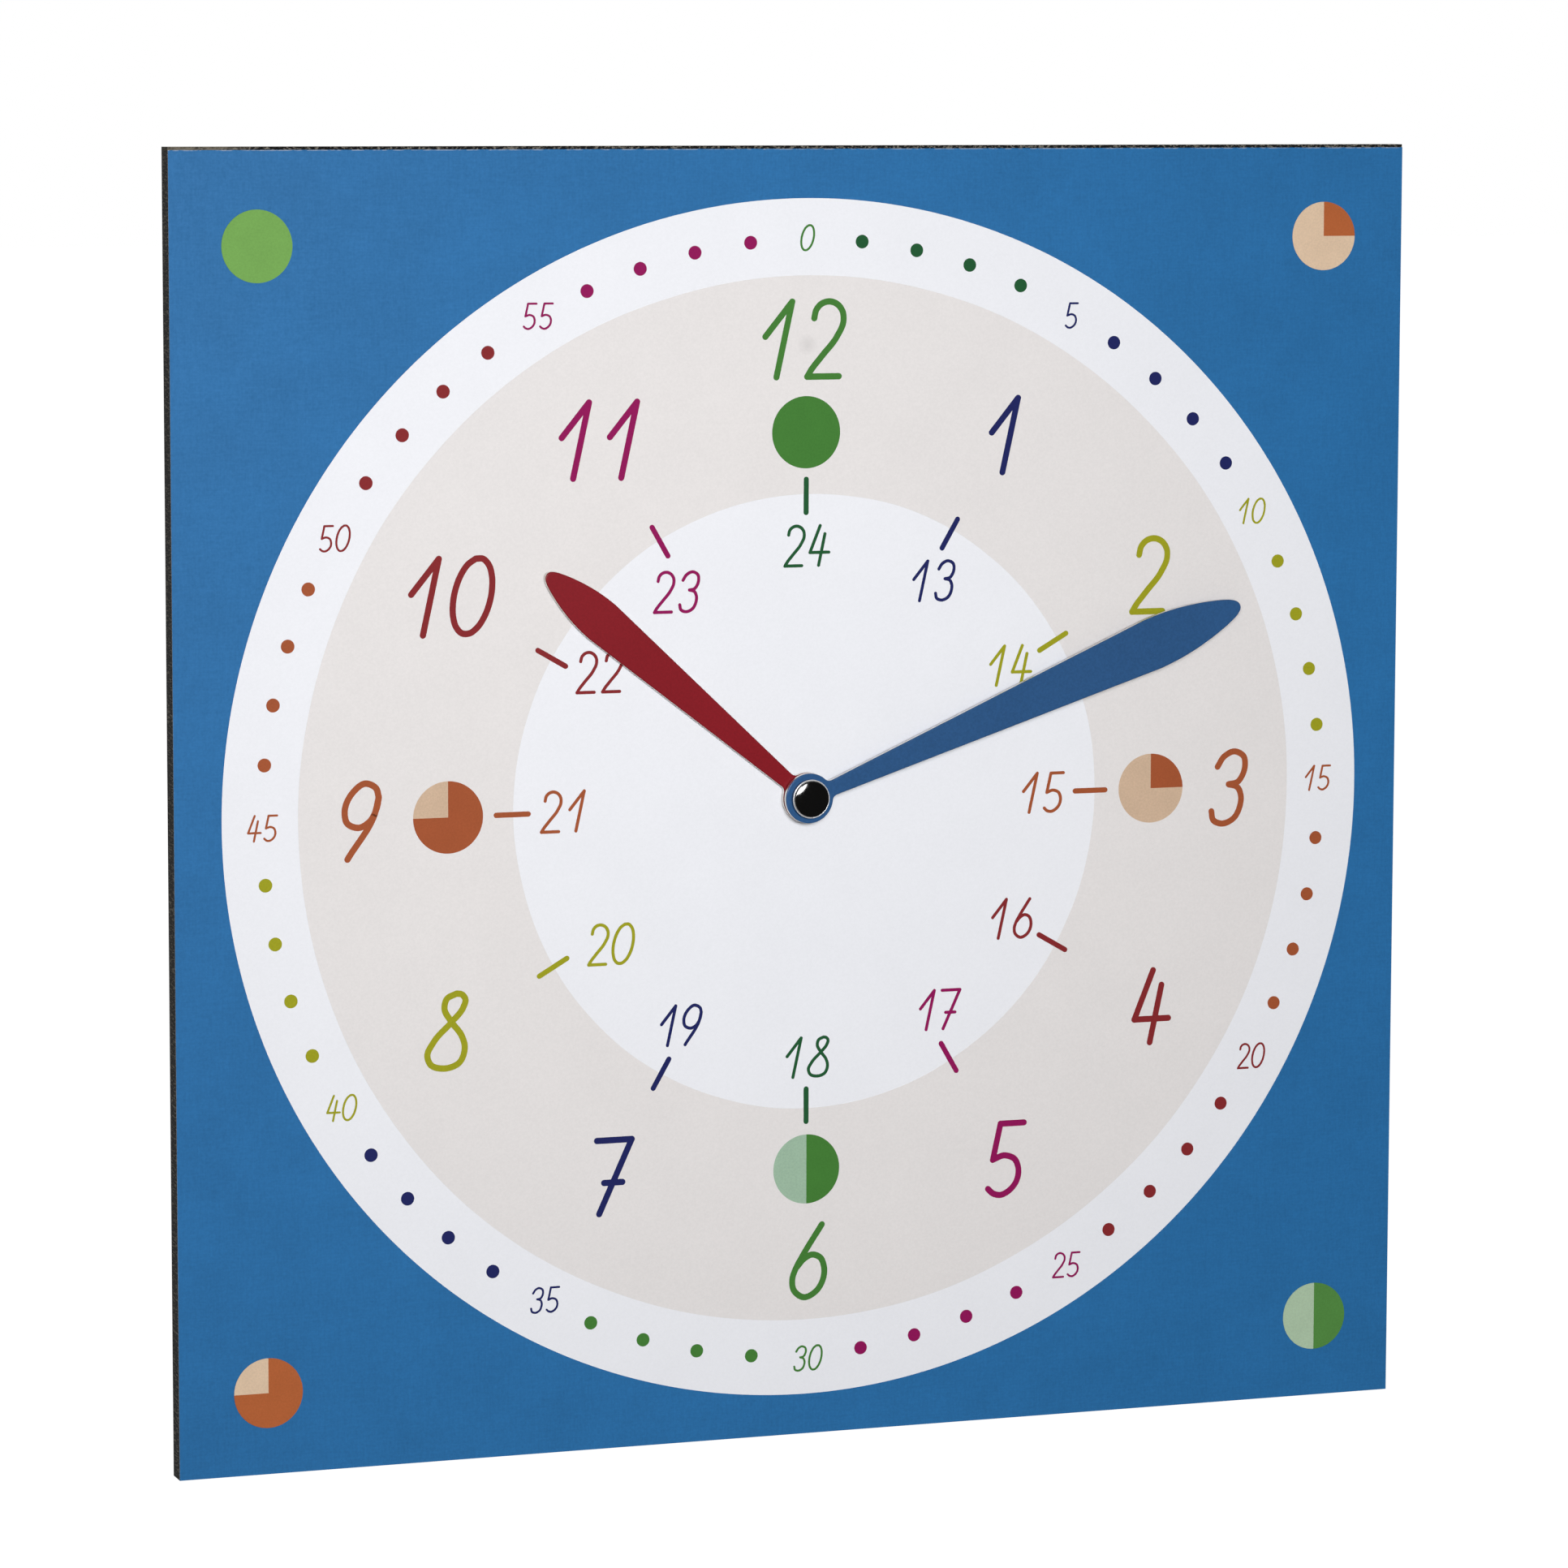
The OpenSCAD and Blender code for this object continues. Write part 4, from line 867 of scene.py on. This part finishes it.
cup = turned("cap_rim_chromed", cup_profile, dial_middle, "Y", cup_body, chrome.material)
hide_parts("cap_bezel")

# %% Black dome
gloss = Finish("polished_black", (0.002, 0.002, 0.002, 1), 0.06, IOR=2.1)
gloss.rough(gloss.vary(gloss.noise(0.8 * MM), 0.04, 0.09))
cloud = gloss.noise(0.5 * MM, shift=2.0)
gloss.colour(gloss.mix(cloud, (0.001, 0.001, 0.001, 1), (0.0022, 0.002, 0.0018, 1)))
ball, shoulder = 17 * MM, 0.25 * MM
t = np.linspace(0, np.arcsin((dome_radius - shoulder) / (ball - shoulder)), 24)
crown_y = dome_low.y + ball * (1 - np.cos(t))
shoulder_y = crown_y[-1] + shoulder * np.cos(t[-1])
dome_profile = [
    *zip(ball * np.sin(t), crown_y),
    *rounding(dome_radius - shoulder, shoulder_y, shoulder, np.degrees(t[-1]) - 90, 0),
    (dome_radius, dome_high.y),
    (0, dome_high.y),
]
dome_body = body_of["cap_dome"]
dome = turned("cap_dome_polished", dome_profile, dial_middle, "Y", dome_body, gloss.material)
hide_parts("cap_dome")

# %% [markdown]
# ## The board
# The board is dark dyed fibre board. Short fibres with lighter flecks lie in its plane. Its sawn edges
# and the bare strip above the sheet are blacker, with pale crumbs. The crumbs on the sawn sides are
# painted paler than those on the strip, as painted light that makes up for the shade the sides lie in.
# Near one corner the strip is rubbed brown, where the board was handled. The CAD shape is right as it
# is, so only its finish is made here.

# %% Fibre board
fibre_width = 0.22 * MM
board_low, board_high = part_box("board")
fibre = Finish("fibre_board", srgb(36, 33, 31), 0.85, **{"Specular IOR Level": 0.25})
level = fibre.noise(fibre_width, stretch=(9, 0.8, 1), detail=4.0)
upright = fibre.noise(fibre_width, stretch=(1, 0.8, 9), detail=4.0, shift=5.0)
strand = fibre.math("MULTIPLY", fibre.math("ADD", level, upright), 0.5)
charcoal = fibre.mix(fibre.ramp(strand, 0.4, 0.62), srgb(25, 23, 22), srgb(46, 41, 37))
fleck = fibre.noise(0.4 * MM, stretch=(4, 0.6, 2), detail=2.0, shift=6.0)
pale_fleck = fibre.ramp(fleck, 0.66, 0.76, 0.0, 0.6)

height = fibre.part_of(fibre.place, "Z")
bare_strip = fibre.ramp(height, dial_high.z - 0.2 * MM, dial_high.z - 0.1 * MM)
sawn = fibre.math("MAXIMUM", fibre.math("SUBTRACT", 1.0, fibre.facing("Y")), bare_strip)
crumb = fibre.ramp(fibre.noise(0.45 * MM, stretch=(1.5, 5, 1), detail=2.0, shift=2.0), 0.5, 0.7)
# Painted light: crumbs on the sawn sides are paler than on the front strip, to make up for the shade that
# the sides lie in.
crumb_colour_with_painted_light = fibre.mix(bare_strip, srgb(160, 155, 145), srgb(124, 118, 107))
ground = fibre.mix(sawn, charcoal, fibre.mix(crumb, srgb(14, 13, 12), crumb_colour_with_painted_light))

rubbed_corner = (board_low.x, board_low.y, board_high.z)
near_corner = fibre.ramp(fibre.distance(rubbed_corner), 10 * MM, 20 * MM, 1.0, 0.0)
worn_strand = fibre.math("MULTIPLY", fibre.ramp(level, 0.38, 0.6, 0.2, 1.0), bare_strip)
rubbed = fibre.math("MULTIPLY", near_corner, worn_strand)
fibre.colour(fibre.mix(fibre.math("MAXIMUM", pale_fleck, rubbed), ground, srgb(112, 105, 92)))
fibre.bump(strand, 0.12 * MM, 0.6)
dress(fibre.material, "board")

# %% [markdown]
# ## The movement at the back
# The case, its cover and the hanger are moulded in black plastic with a fine spark texture, which
# scatters the light. The knob is a smoother dark grey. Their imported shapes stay, and one recipe gives
# each its finish.

# %% Moulded plastics
def moulded(name, dark, light, roughness, depth=0.02 * MM, **sockets):
    """Plastic from a spark-eroded mould: fine pits, an uneven shine and a slow change of tone."""
    plastic = Finish(name, dark, roughness, **sockets)
    pit = plastic.noise(0.16 * MM)
    slow = plastic.noise(9 * MM, shift=3.0)
    plastic.colour(plastic.mix(plastic.vary(slow), dark, light))
    plastic.rough(plastic.vary(pit, roughness - 0.08, roughness + 0.08))
    plastic.bump(pit, depth, 0.6)
    return plastic.material


case_plastic = moulded("spark_textured_black", srgb(30, 30, 32), srgb(40, 40, 42), 0.55)
knob_plastic = moulded("dark_grey_plastic", srgb(56, 56, 59), srgb(66, 66, 69), 0.42, depth=0.008 * MM)
dress(case_plastic, "movement_case", "rear_cover", "hanger_clip")
dress(knob_plastic, "setting_knob")

# %% [markdown]
# ## Metals
# Screws are zinc plated, contacts and the clutch spring are bright strip, and the bush, the arbor and
# the collar are turned brass. The coil's iron is stamped. A drawn or turned metal shows fine lines, so
# its shine changes across them.

# %% Metals
def metal(name, colour, roughness, lines=(1, 1, 1), size=0.12 * MM):
    """Bare metal: lines stretch the grain, and tarnish darkens it slowly by up to 12%."""
    bare = Finish(name, colour, roughness, Metallic=1.0)
    grain = bare.noise(size, stretch=lines)
    tarnish = bare.vary(bare.noise(4 * MM, shift=8.0), 0.88, 1.0)
    bare.colour(bare.scaled(colour, tarnish))
    bare.rough(bare.vary(grain, roughness - 0.08, roughness + 0.1))
    bare.bump(grain, 0.004 * MM, 0.4)
    return bare.material


zinc = metal("zinc_plate", srgb(196, 198, 196), 0.28, size=0.4 * MM)
spring_strip = metal("spring_strip", srgb(204, 203, 198), 0.22, lines=(1, 12, 1))
brass = metal("turned_brass", srgb(204, 172, 98), 0.25, lines=(10, 1, 10))
iron = metal("stamped_iron", srgb(166, 170, 172), 0.35, lines=(10, 1, 1))
magnet = metal("sintered_magnet", srgb(84, 84, 87), 0.5, size=0.3 * MM)
crystal_can = metal("crystal_can", srgb(202, 203, 205), 0.18, lines=(8, 1, 1))
dress(zinc, "mounting_screws", "bridge_screws", "coil_screws")
dress(spring_strip, "negative_contact", "positive_contact", "clutch_spring")
dress(brass, "shaft_bush", "minute_arbor", "clutch_collar")
dress(iron, "stator", "coil_core")
dress(magnet, "rotor_magnet")
dress(crystal_can, "quartz_crystal")

# %% [markdown]
# ## Inside the case
# The wheels are moulded in natural plastic, the bridge and the bobbin in white. The coil is enamelled
# copper wire in close turns, whose colour is painted darker in the grooves between them as painted
# shade. The circuit board is a coated green laminate with a drop of black resin on it.

# %% Wheels, bridge and bobbin
natural = moulded("natural_plastic", srgb(226, 219, 202), srgb(236, 231, 217), 0.4,
                  **{"Subsurface Weight": 0.05})
white_plastic = moulded("white_plastic", srgb(224, 223, 217), srgb(234, 233, 228), 0.45)
dress(natural, "hour_wheel", "centre_wheel", "minute_wheel", "setting_arbor", "third_wheel",
      "second_wheel", "intermediate_wheel", "rotor_pinion")
dress(white_plastic, "train_bridge", "coil_bobbin")

# %% Coil and circuit
wire_pitch = 0.25 * MM
copper = Finish("enamelled_copper", srgb(170, 88, 52), 0.3, Metallic=1.0)
height = copper.part_of(copper.place, "Z")
wire_turns_and_groove_shade = copper.math("SINE", copper.math("MULTIPLY", height, 2 * np.pi / wire_pitch))
# Painted shade: the copper is darker where the bump of the turns is low, in the grooves between wires.
copper.colour(copper.mix(copper.ramp(wire_turns_and_groove_shade, -1, 1), srgb(118, 52, 28), srgb(196, 110, 66)))
copper.bump(wire_turns_and_groove_shade, 0.06 * MM, 0.8)
dress(copper.material, "coil_winding")

laminate = Finish("green_laminate", srgb(40, 104, 62), 0.35)
trace = laminate.ramp(laminate.noise(1.6 * MM, stretch=(4, 1, 0.6), detail=0.0), 0.52, 0.54)
laminate.colour(laminate.mix(trace, srgb(34, 92, 54), srgb(58, 130, 78)))
laminate.bump(trace, 0.03 * MM, 0.6)
dress(laminate.material, "circuit_board")

resin = Finish("black_resin", srgb(20, 20, 20), 0.18)
resin.colour(resin.mix(resin.noise(0.8 * MM), srgb(16, 16, 16), srgb(28, 27, 26)))
resin.bump(resin.noise(1.5 * MM), 0.05 * MM, 0.3)
dress(resin.material, "chip_cover")

# %% [markdown]
# ## The cell
# A round cell is a steel can in a shrunk plastic sleeve. The can shows at both ends, as a flat disc and
# as a raised tip, and the sleeve curls over its shoulders. Both are turned about the length of the
# cell. Two plain marks say which end is which; they are worked out from the place on the sleeve, so
# they need no picture.

# %% Can
cell_low, cell_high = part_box("battery_cell")
cell_middle = (cell_low + cell_high) / 2
CAN_PROFILE = [(0, -25.25), (5.5, -25.25), (5.8, -25.15), (6.0, -24.9), (6.8, -24.8), (7.05, -24.5),
               (7.1, -24.0), (7.1, 23.4), (6.9, 23.9), (6.2, 24.05), (5.6, 23.9), (3.5, 23.9),
               (3.1, 24.05), (2.75, 24.4), (2.75, 25.0), (2.5, 25.25), (0, 25.25)]
nickel = metal("nickel_plate", srgb(200, 198, 192), 0.2, size=0.5 * MM)
can_profile = np.array(CAN_PROFILE) * MM
can = turned("cell_can", can_profile, cell_middle, "X", "battery", nickel)
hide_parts("battery_cell")

# %% Sleeve
SLEEVE_PROFILE = [(6.3, -24.98), (6.9, -24.92), (7.2, -24.6), (7.25, -24.2), (7.25, 23.5), (7.15, 23.95),
                  (6.8, 24.15), (6.4, 24.2), (6.4, 24.05), (6.75, 24.0), (7.05, 23.8), (7.12, 23.4),
                  (7.12, -24.1), (7.05, -24.5), (6.85, -24.8), (6.3, -24.86), (6.3, -24.98)]
plus_x, minus_x, band_x = 18 * MM, -19 * MM, 13 * MM
mark_long, mark_thin = 2 * MM, 0.45 * MM
dark_slate = srgb(34, 50, 65)
sleeve = Finish("cell_sleeve_film", srgb(40, 58, 74), 0.28)
along_cell = sleeve.part_of(sleeve.place, "X")
above_line = sleeve.math("SUBTRACT", sleeve.part_of(sleeve.place, "Z"), cell_middle.z)
off_line = sleeve.math("ABSOLUTE", above_line)
outside = sleeve.math("GREATER_THAN", sleeve.part_of(sleeve.place, "Y"), cell_middle.y)


def bar(centre, half_length, half_height):
    """1 inside a rectangle on the outer side of the sleeve, 0 elsewhere."""
    off_centre = sleeve.math("ABSOLUTE", sleeve.math("SUBTRACT", along_cell, centre))
    within_length = sleeve.math("LESS_THAN", off_centre, half_length)
    within_height = sleeve.math("LESS_THAN", off_line, half_height)
    return sleeve.math("MINIMUM", sleeve.math("MINIMUM", within_length, within_height), outside)


plus_mark = sleeve.math("MAXIMUM", bar(plus_x, mark_long, mark_thin), bar(plus_x, mark_thin, mark_long))
minus_mark = bar(minus_x, mark_long, mark_thin)
scuff = sleeve.noise(0.8 * MM, stretch=(6, 1, 1), detail=4.0)
slate = sleeve.mix(scuff, dark_slate, srgb(46, 66, 84))
banded = sleeve.mix(sleeve.ramp(along_cell, band_x - 0.1 * MM, band_x), slate, srgb(186, 190, 192))
marked = sleeve.mix(minus_mark, banded, srgb(206, 209, 210))
sleeve.colour(sleeve.mix(plus_mark, marked, dark_slate))
sleeve.rough(sleeve.vary(scuff, 0.22, 0.4))
sleeve_profile = np.array(SLEEVE_PROFILE) * MM
turned("cell_sleeve", sleeve_profile, cell_middle, "X", "battery", sleeve.material)
